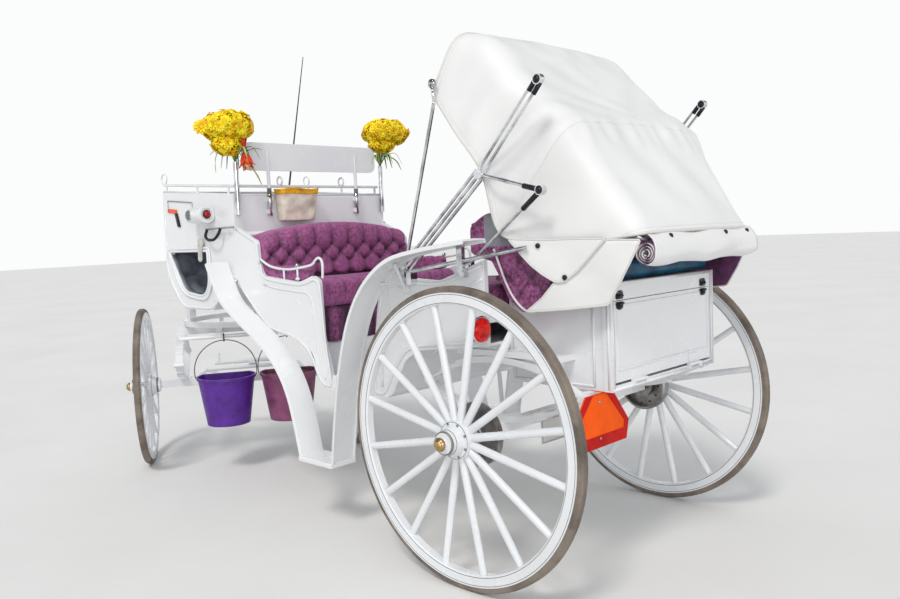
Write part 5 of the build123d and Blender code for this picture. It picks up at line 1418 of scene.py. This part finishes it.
yellow_petals = surface("yellow_petals", (0.98, 0.70, 0.008), rough=0.6, mottle=(26.0, 0.28),
                        grain=(260.0, 0.2), dark=(0.95, 0.50, 0.004))
red_petals = surface("red_petals", (0.78, 0.07, 0.015), rough=0.55, mottle=(30.0, 0.3), grain=(260.0, 0.2),
                     sheen=0.2, dark=(0.42, 0.02, 0.008))
peach_petals = surface("peach_petals", (0.85, 0.36, 0.14), rough=0.55, mottle=(30.0, 0.2), grain=(260.0, 0.2))
green_leaf = surface("green_leaf", (0.10, 0.21, 0.035), rough=0.5, mottle=(22.0, 0.3), grain=(200.0, 0.2),
                     dark=(0.03, 0.09, 0.015))
pale_leaf = surface("pale_leaf", (0.36, 0.52, 0.14), rough=0.5, mottle=(22.0, 0.25), grain=(200.0, 0.2))


def head_tree():
    """A flower head on every point: three rings of curled, tapered petals, turned to its facing."""
    tree, given, result = growth("flower_heads",
                                 [("Petal Length", "NodeSocketFloat"), ("Seed", "NodeSocketInt"),
                                                  ("Finish", "NodeSocketMaterial")])

    def maths(kind, a, b=0.0):
        return new_node(tree, "ShaderNodeMath", {0: a, 1: b}, operation=kind).outputs[0]

    grid = new_node(tree, "GeometryNodeMeshGrid",
                    {"Size X": 1.0, "Size Y": 1.0, "Vertices X": 3, "Vertices Y": 6})
    where = new_node(tree, "GeometryNodeInputPosition")
    across, length = new_node(tree, "ShaderNodeSeparateXYZ", {0: where.outputs[0]}).outputs[:2]
    along = maths("ADD", length, 0.5)
    taper = maths("MULTIPLY", maths("SINE", maths("MULTIPLY", maths("POWER", along, 0.75), 2.75)), 0.46)
    cup = maths("MULTIPLY", maths("MULTIPLY", across, across), 0.5)
    curl = maths("MULTIPLY", maths("SINE", maths("MULTIPLY", along, 3.6)), 0.22)
    place = new_node(tree, "ShaderNodeCombineXYZ", {0: maths("MULTIPLY", across, maths("ADD", taper, 0.05)),
                                                    1: along, 2: maths("ADD", cup, curl)})
    petal = new_node(tree, "GeometryNodeSetPosition", {"Geometry": grid.outputs["Mesh"],
                                                       "Position": place.outputs[0]})
    rings = new_node(tree, "GeometryNodeJoinGeometry")
    index = new_node(tree, "GeometryNodeInputIndex").outputs[0]
    for count, pitch, size, turn in ((11, 0.05, 1.0, 0.0), (10, 0.60, 0.90, 0.35), (8, 1.05, 0.70, 0.8)):
        circle = new_node(tree, "GeometryNodeMeshCircle", {"Vertices": count, "Radius": 0.05})
        yaw = maths("ADD", maths("MULTIPLY", index, 2 * pi / count), turn)
        spin = new_node(tree, "ShaderNodeCombineXYZ", {0: pitch, 2: yaw})
        petals = new_node(tree, "GeometryNodeInstanceOnPoints", {
            "Points": circle.outputs["Mesh"], "Instance": petal.outputs[0], "Rotation": spin.outputs[0],
            "Scale": (size, size, size)})
        tree.links.new(petals.outputs[0], rings.inputs[0])
    chance = new_node(tree, "FunctionNodeRandomValue", {2: 0.78, 3: 1.18, "Seed": given["Seed"]})
    heads = new_node(tree, "GeometryNodeInstanceOnPoints", {
        "Points": given["Geometry"], "Instance": rings.outputs[0], "Rotation": aligned(tree),
        "Scale": maths("MULTIPLY", chance.outputs[1], given["Petal Length"])})
    return made_real(tree, heads.outputs[0], given["Finish"], result)


HEADS = head_tree()
GOLDEN_ANGLE = 2.39996


def heads_on(name, lobes, length, material, seed):
    """Flower heads spread evenly over rounded lobes (middle, radii, count)."""
    points, facings = [], []
    for middle, radii, count in lobes:
        middle = Vector(middle)
        for k in range(count):
            rise = 1 - 2 * (k + 0.5) / count
            angle, wide = k * GOLDEN_ANGLE, (1 - rise * rise) ** 0.5
            d = Vector((cos(angle) * wide, sin(angle) * wide, rise))
            shift = 0.92 + 0.16 * noise.noise(Vector((k * 1.7, seed, 0.5)))
            p = middle + Vector((d.x * radii[0], d.y * radii[1], d.z * radii[2])) * shift
            wander = Vector([noise.noise(Vector((k * 2.3, seed + 3.0 * axis, 1.5))) for axis in range(3)])
            points.append(p)
            bulge = Vector((d.x / radii[0], d.y / radii[1], d.z / radii[2])).normalized()
            facings.append(bulge + wander * 0.7)
    obj = grown(name, HEADS, points, "carriage", "flowers", facings,
                **{"Petal Length": length, "Seed": seed, "Finish": material})
    obj.data.polygons.foreach_set("use_smooth", [True] * len(obj.data.polygons))
    return obj


def leaf(line, width, fold=0.3):
    """Tapered blade along a line, folded a little along its midrib."""
    line = smooth_line(line, 6)
    verts, count = [], len(line)
    for i, here in enumerate(line):
        along = heading(line, i)
        side = along.cross(Vector((0.2, 0.1, 1))).normalized()
        up = side.cross(along)
        half = width / 2 * (0.12 + 0.88 * sin(pi * min(1.0, (i + 1.2) / (count + 0.4))) ** 0.8)
        verts += [here - side * half + up * half * fold, here, here + side * half + up * half * fold]
    faces = [(3 * i + k, 3 * i + k + 1, 3 * i + 4 + k, 3 * i + 3 + k) for i in range(count - 1)
             for k in (0, 1)]
    return verts, faces


def greenery(name, shapes, material):
    """Thin blades as one piece."""
    thicken(piece(name, *joined(*shapes), material, slot="flowers"), 0.0009)


left_mouth, right_mouth = Vector((1.834, 0.530, 1.862)), Vector((1.834, -0.530, 1.862))
left_heads = heads_on("left_bouquet_heads", [((1.836, 0.562, 2.056), (0.120, 0.128, 0.074), 60),
                                             ((1.836, 0.562, 2.056), (0.070, 0.080, 0.042), 20),
                                             ((1.812, 0.590, 1.958), (0.058, 0.062, 0.045), 18),
                                             ((1.836, 0.722, 2.045), (0.008, 0.010, 0.008), 3)],
                      0.040, yellow_petals, 7)
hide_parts("bouquets")
heads_on("right_bouquet_heads", [((1.836, -0.590, 2.080), (0.120, 0.150, 0.074), 60),
                                 ((1.836, -0.590, 2.080), (0.070, 0.090, 0.042), 20),
                                 ((1.830, -0.555, 2.005), (0.060, 0.080, 0.036), 16)],
                         0.040, yellow_petals, 19)

stem_shapes, dark_blades, pale_blades = [], [], []
for mouth, middle in ((left_mouth, Vector((1.836, 0.565, 2.040))),
                      (right_mouth, Vector((1.836, -0.585, 2.060)))):
    for k in range(13):
        a = k * GOLDEN_ANGLE
        r = 0.25 + 0.75 * (k / 13)
        foot = mouth + Vector((0.0055 * cos(a), 0.0055 * sin(a), -0.09))
        tip = middle + Vector((0.09 * r * cos(a), 0.10 * r * sin(a), -0.02))
        lean = mouth + Vector((0.006 * cos(a), 0.006 * sin(a), 0.01))
        stem_shapes.append(tube(smooth_line([foot, lean, lean.lerp(tip, 0.5) + Vector((0, 0, 0.01)), tip], 5),
                                0.0019, 6))
    for k in range(11):
        a = k * GOLDEN_ANGLE + 0.4
        reach = 0.085 + 0.05 * ((k * 5) % 7) / 7
        out = Vector((cos(a), sin(a), 0))
        base = mouth + Vector((0, 0, 0.004))
        blades = dark_blades if k % 3 else pale_blades
        droop = -0.03 + 0.09 * ((k * 3) % 5) / 5
        blades.append(leaf([base, base + out * reach * 0.30 + Vector((0, 0, 0.055)),
                            base + out * reach * 0.8 + Vector((0, 0, 0.075)),
                            base + out * reach * 1.15 + Vector((0, 0, droop))], 0.013))
# the long leaves that hang out of the bunches
PALE_LEAVES = [
    [(1.832, 0.540, 1.880), (1.820, 0.580, 1.925), (1.810, 0.640, 1.918), (1.800, 0.672, 1.868),
     (1.798, 0.676, 1.8)],
    [(1.832, 0.520, 1.874), (1.800, 0.480, 1.858), (1.790, 0.430, 1.800), (1.790, 0.395, 1.735)],
    [(1.832, -0.540, 1.880), (1.810, -0.500, 1.930), (1.800, -0.450, 1.920), (1.795, -0.425, 1.870)],
    [(1.832, -0.540, 1.880), (1.810, -0.570, 1.925), (1.800, -0.640, 1.900), (1.795, -0.680, 1.840)]]
pale_blades += [leaf(line, 0.012) for line in PALE_LEAVES]
dark_blades.append(leaf([(1.832, 0.520, 1.880), (1.826, 0.480, 1.915), (1.812, 0.420, 1.940),
                         (1.805, 0.370, 1.936)], 0.012))
piece("bouquet_stems", *joined(*stem_shapes), green_leaf, slot="flowers")
greenery("bouquet_leaves", dark_blades, green_leaf)
greenery("bouquet_pale_leaves", pale_blades, pale_leaf)

# lily: a trumpet hanging out of the left bunch with red bracts over it
LILY = Vector((1.772, 0.508, 1.915))
axis = Vector((-0.35, 0.10, -0.93)).normalized()
red_blades, peach_blades = [], []
for k in range(6):
    a = 2 * pi * k / 6
    first = axis.orthogonal().normalized()
    side = first * cos(a) + axis.cross(first) * sin(a)
    red_blades.append(leaf([LILY, LILY + axis * 0.035 + side * 0.012, LILY + axis * 0.075 + side * 0.026,
                            LILY + axis * 0.090 + side * 0.048], 0.030, 0.5))
    if k % 2:
        peach_blades.append(leaf([LILY + axis * 0.045 + side * 0.006, LILY + axis * 0.085 + side * 0.012,
                                  LILY + axis * 0.112 + side * 0.022], 0.026, 0.5))
for k in range(5):
    tip = LILY + Vector((0.0, -0.016 + 0.012 * k, 0.118 - 0.012 * abs(k - 2)))
    bent = LILY.lerp(tip, 0.5) + Vector((-0.012, 0, 0))
    red_blades.append(leaf([LILY - axis * 0.004, bent, tip], 0.017, 0.4))
greenery("lily", red_blades, red_petals)
greenery("lily_throat", peach_blades, peach_petals)

# Trunk, sign, plate and tail lamps
# The luggage box has a framed drop door with black over-centre latches. A blue waterproof cover lies
# folded on its lid, an orange sign hangs below it, and red lenses in chrome rings mark the corners.

blue_cover = surface("blue_cover", (0.010, 0.100, 0.180), rough=0.35, mottle=(9.0, 0.3), grain=(280.0, 0.12),
                     dark=(0.006, 0.045, 0.095), specular=0.3)
sign_orange = surface("sign_orange", (0.92, 0.105, 0.002), rough=0.5, mottle=(4.0, 0.08), grain=(300.0, 0.06),
                      specular=0.12)
sign_red = surface("sign_red", (0.52, 0.008, 0.006), rough=0.5, mottle=(6.0, 0.1), grain=(300.0, 0.08),
                   specular=0.12)
blank_plate = surface("blank_plate", (0.66, 0.66, 0.65), rough=0.4, mottle=(8.0, 0.06), grain=(120.0, 0.08))
lens_red = surface("lens_red", (0.85, 0.012, 0.006), rough=0.12, mottle=(50.0, 0.25), grain=(120.0, 0.12),
                   dark=(0.42, 0.004, 0.004), specular=0.35)
dress(sign_orange, "emblem")
dress(blank_plate, "number_plate")

trunk_beads = []
for side in (1, -1):
    y = side * 0.4015
    side_lines = [[(x, y, 0.806), (x, y, 1.202)] for x in (-0.420, -0.020)]
    side_lines += [[(-0.420, y, z), (-0.020, y, z)] for z in (0.806, 1.200)]
    trunk_beads += [tube(line, 0.006, 8, flat=0.5, up=(0, side, 0)) for line in side_lines]
    trunk_beads.append(tube([(-0.490, side * 0.4035, 0.800), (-0.490, side * 0.4035, 1.204)], 0.006, 10))
rear_lines = [[(-0.5025, y, 0.800), (-0.5025, y, 1.204)] for y in (0.3915, -0.3915)]
rear_lines += [[(-0.5025, -0.398, z), (-0.5025, 0.398, z)] for z in (1.203, 0.797)]
trunk_beads += [tube(line, 0.007, 10, flat=0.5, up=(-1, 0, 0)) for line in rear_lines]
piece("trunk_beads", *joined(*trunk_beads), white_paint)
door_frame = cornered([(-0.5005, -0.355, 0.870, .006), (-0.5005, 0.355, 0.870, .006),
                       (-0.5005, 0.355, 1.118, .006), (-0.5005, -0.355, 1.118, .006)], closed=True)
piece("trunk_door_bead", *tube(door_frame, 0.0045, 8, closed=True, flat=0.6, up=(-1, 0, 0)), white_paint,
      body="trunk_door")

KEEPER = [(-0.020, -0.002), (-0.024, 0.004), (-0.024, 0.040), (-0.016, 0.050), (0.016, 0.050), (0.024, 0.040),
          (0.024, 0.004), (0.020, -0.002)]
LATCH_FOOT = [(-0.021, 0.0), (0.021, 0.0), (0.026, -0.010), (0.020, -0.046), (0.008, -0.056),
              (-0.008, -0.056), (-0.020, -0.046), (-0.026, -0.010)]
LATCH_TONGUE = [(-0.011, 0.0), (0.011, 0.0), (0.012, -0.016), (0.0, -0.022), (-0.012, -0.016)]
LATCHES = (0.340, -0.318)
keepers, levers = [], []
for y in LATCHES:
    keepers.append(slab([(a, b * 0.62) for a, b in KEEPER], 0.004, (-0.5005, y, 1.146), *REARWARD))
    keepers.append(tube([(-0.5045, y - 0.014, 1.161), (-0.511, y - 0.014, 1.157), (-0.511, y + 0.014, 1.157),
                         (-0.5045, y + 0.014, 1.161)], 0.0035, 8))
    levers.append(slab([(a, b * 0.55) for a, b in LATCH_FOOT], 0.005, (-0.5005, y, 1.134), *REARWARD))
    levers.append(slab(LATCH_TONGUE, 0.006, (-0.506, y, 1.131), *REARWARD))
    levers.append(tube([(-0.511, y - 0.018, 1.128), (-0.511, y + 0.018, 1.128)], 0.0045, 10))
bevel(piece("latch_keepers", *joined(*keepers), black_metal, slot="bare_steel"), 0.0012, 1)
bevel(piece("latch_levers", *joined(*levers), black_metal, body="trunk_door", slot="bare_steel"), 0.0012, 1)
studs("latch_rivets", [((-0.5045, y + dy, 1.171), (-1, 0, 0)) for y in LATCHES for dy in (-0.013, 0.013)],
      0.0035, 0.002, steel_grey, slot="bare_steel")

# folded cover: the outer layer wraps the others in one tall rounded fold at the rear. Each layer is
# (height, where it starts, where it ends, how far the fold at its end stands out)
COVER_LAYERS = [(1.2145, -0.418, -0.462, -0.024), (1.2865, -0.462, -0.422, 0.006),
                (1.2700, -0.422, -0.455, -0.008), (1.2530, -0.455, -0.423, 0.006),
                (1.2370, -0.423, -0.450, -0.006), (1.2240, -0.450, -0.424, 0)]
cover_path, height = [], 1.2145
for layer, (z, start, end, bulge) in enumerate(COVER_LAYERS):
    cover_path += [(start + (end - start) * k / 4, z) for k in range(5)]
    if bulge:
        middle, half = (z + COVER_LAYERS[layer + 1][0]) / 2, (COVER_LAYERS[layer + 1][0] - z) / 2
        cover_path += [(end + bulge * sin(pi * k / 8), middle - half * cos(pi * k / 8)) for k in range(1, 8)]
columns, verts = 56, []
for i in range(columns + 1):
    y = 0.362 - 0.750 * i / columns
    for k, (x, z) in enumerate(cover_path):
        level = (z - height) / 0.072
        wave = 0.0035 * level * (sin(y * 33) + sin(x * 27 + y * 11) + 0.8)
        free = min(1.0, max(0.0, (-0.43 - x) / 0.04))
        ragged = 0.016 * noise.noise(Vector((y * 8, level * 1.5, 2.0))) * free
        verts.append(Vector((x + ragged * level, y + 0.006 * noise.noise(Vector((x * 9, level * 4, 7.0))),
                             z + max(-0.001, wave))))
cover = piece("trunk_cover", verts, quads(columns + 1, len(cover_path), ring=False), blue_cover,
              slot="driver_vinyl")
thicken(cover, 0.0016)

# sign: a red border raised on its face, and the bolts that hold it
SIGN = [(0.242, 0.575), (0.598, 0.575), (0.618, 0.650), (0.510, 0.784), (0.330, 0.784), (0.222, 0.650)]


SIGN_FIELD = [(0.258, 0.622), (0.582, 0.622), (0.586, 0.652), (0.464, 0.783), (0.376, 0.783), (0.254, 0.652)]
# the border: outer and inner outline on the sign's face, then both a little proud of it
SIGN_FACE, BORDER_FACE = -0.4524, -0.4540
verts = [(x, y, z) for outline, x in ((SIGN, SIGN_FACE), (SIGN, BORDER_FACE), (SIGN_FIELD, BORDER_FACE),
                                      (SIGN_FIELD, SIGN_FACE)) for y, z in outline]
piece("sign_border", verts, quads(4, len(SIGN), loop=True), sign_red, smooth=False, slot="emblem_orange")
piece("sign_back", *slab(SIGN, -0.0015, (-0.4478, 0, 0), *REARWARD), sign_red, smooth=False,
      slot="emblem_orange")
studs("sign_bolts", [((-0.4528, 0.420, z), (-1, 0, 0)) for z in (0.752, 0.610)], 0.006, 0.004, steel_grey,
      slot="bare_steel")
plate_edge = cornered([(-0.0455, 0.066, 0.498, .01), (-0.0455, 0.264, 0.498, .01),
                       (-0.0455, 0.264, 0.596, .01), (-0.0455, 0.066, 0.596, .01)], closed=True)
piece("plate_bead", *tube(plate_edge, 0.0022, 6, closed=True, flat=0.6, up=(-1, 0, 0)), steel_grey,
      slot="bare_steel")

shells, rims, domes = [], [], []
for side in (1, -1):
    spot = (0.002, side * 0.600, 1.030)
    shells.append(turned([(0.0, -0.032), (0.022, -0.032), (0.038, -0.026), (0.049, -0.012), (0.052, 0.004),
                          (0.052, 0.016), (0.0, 0.016)], spot, (-1, 0, 0), 36))
    shells.append(tube([(0.016, side * 0.549, 1.030), (0.016, side * 0.590, 1.030)], 0.009, 12))
    rims.append(turned([(0.047, 0.014), (0.056, 0.014), (0.058, 0.018), (0.056, 0.022), (0.0515, 0.023),
                        (0.047, 0.021), (0.047, 0.014)], spot, (-1, 0, 0), 36))
    profile = [(0.0, 0.016), (0.0500, 0.016), (0.0500, 0.022)]
    profile += [(0.0500 * cos(a), 0.022 + 0.022 * sin(a)) for a in (pi / 2 * k / 7 for k in range(1, 7))]
    ribs = [(r - 0.0012 * (k % 2), h) for k, (r, h) in enumerate(profile[3:])]
    profile = profile[:3] + ribs + [(0.0, 0.044)]
    domes.append(turned(profile, spot, (-1, 0, 0), 36))
lamp_shell = piece("tail_lamp_shells", *joined(*shells), black_metal, slot="lamp_red")
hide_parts("tail_lamps")
piece("tail_lamp_rims", *joined(*rims), chrome, slot="bright_metal")
piece("tail_lamp_lenses", *joined(*domes), lens_red, slot="lamp_red")

# Buckets and whip
# Two moulded plastic buckets with rolled, ribbed rims and wire handles, the right one with feed in
# it, and a dark tapered whip with a cord-bound grip.

purple_plastic = surface("purple_plastic", (0.085, 0.012, 0.26), rough=0.42, mottle=(14.0, 0.15),
                         grain=(120.0, 0.12))
mauve_plastic = surface("mauve_plastic", (0.24, 0.062, 0.15), rough=0.5, mottle=(10.0, 0.25),
                        grain=(120.0, 0.2))
wire = surface("wire", (0.10, 0.095, 0.09), rough=0.4, metal=0.8, mottle=(40.0, 0.2), grain=(200.0, 0.2))
feed = surface("feed", (0.30, 0.15, 0.06), rough=0.95, mottle=(60.0, 0.5), grain=(300.0, 0.8))
stick = surface("dark_stick", (0.05, 0.045, 0.04), rough=0.5, mottle=(30.0, 0.2), grain=(200.0, 0.2))
dress(wire, "bucket_bails")
dress(stick, "whip")
dress(purple_plastic, "bucket_left")
dress(mauve_plastic, "bucket_right")


def rim_of(name):
    """Middle and points of a bucket's rim."""
    bucket = nodes[name]
    spots = [bucket.matrix_world @ v.co for v in bucket.data.vertices]
    top = max(p.z for p in spots)
    rim = [p for p in spots if p.z > top - 0.001]
    middle = Vector(((min(p.x for p in rim) + max(p.x for p in rim)) / 2,
                     (min(p.y for p in rim) + max(p.y for p in rim)) / 2, top))
    return middle - REAR_AXLE, rim


middle, rim = rim_of("bucket_right")
ring = sorted((p - REAR_AXLE for p in rim), key=lambda p: atan2(p.y - middle.y, p.x - middle.x))
ring = [p for k, p in enumerate(ring) if (p - ring[k - 1]).length > 0.004][::2]
rows, rings = [], 9
for j in range(rings):
    share = 1 - j / rings
    for p in ring:
        flat = Vector((p.x - middle.x, p.y - middle.y, 0)) * (0.94 * share)
        q = middle + flat
        q.z = middle.z - 0.030 + 0.024 * cos(share * pi / 2) + 0.006 * noise.noise(Vector((q.x * 34,
                                                                                           q.y * 34, 4)))
        rows.append(q)
count = len(ring)
rows.append(middle + Vector((0, 0, -0.006)))
faces = quads(rings, count)
faces += [((rings - 1) * count + k, (rings - 1) * count + (k + 1) % count, len(rows) - 1)
          for k in range(count)]
piece("bucket_feed", rows, faces, feed, body="fore_carriage", slot="bag_cloth")
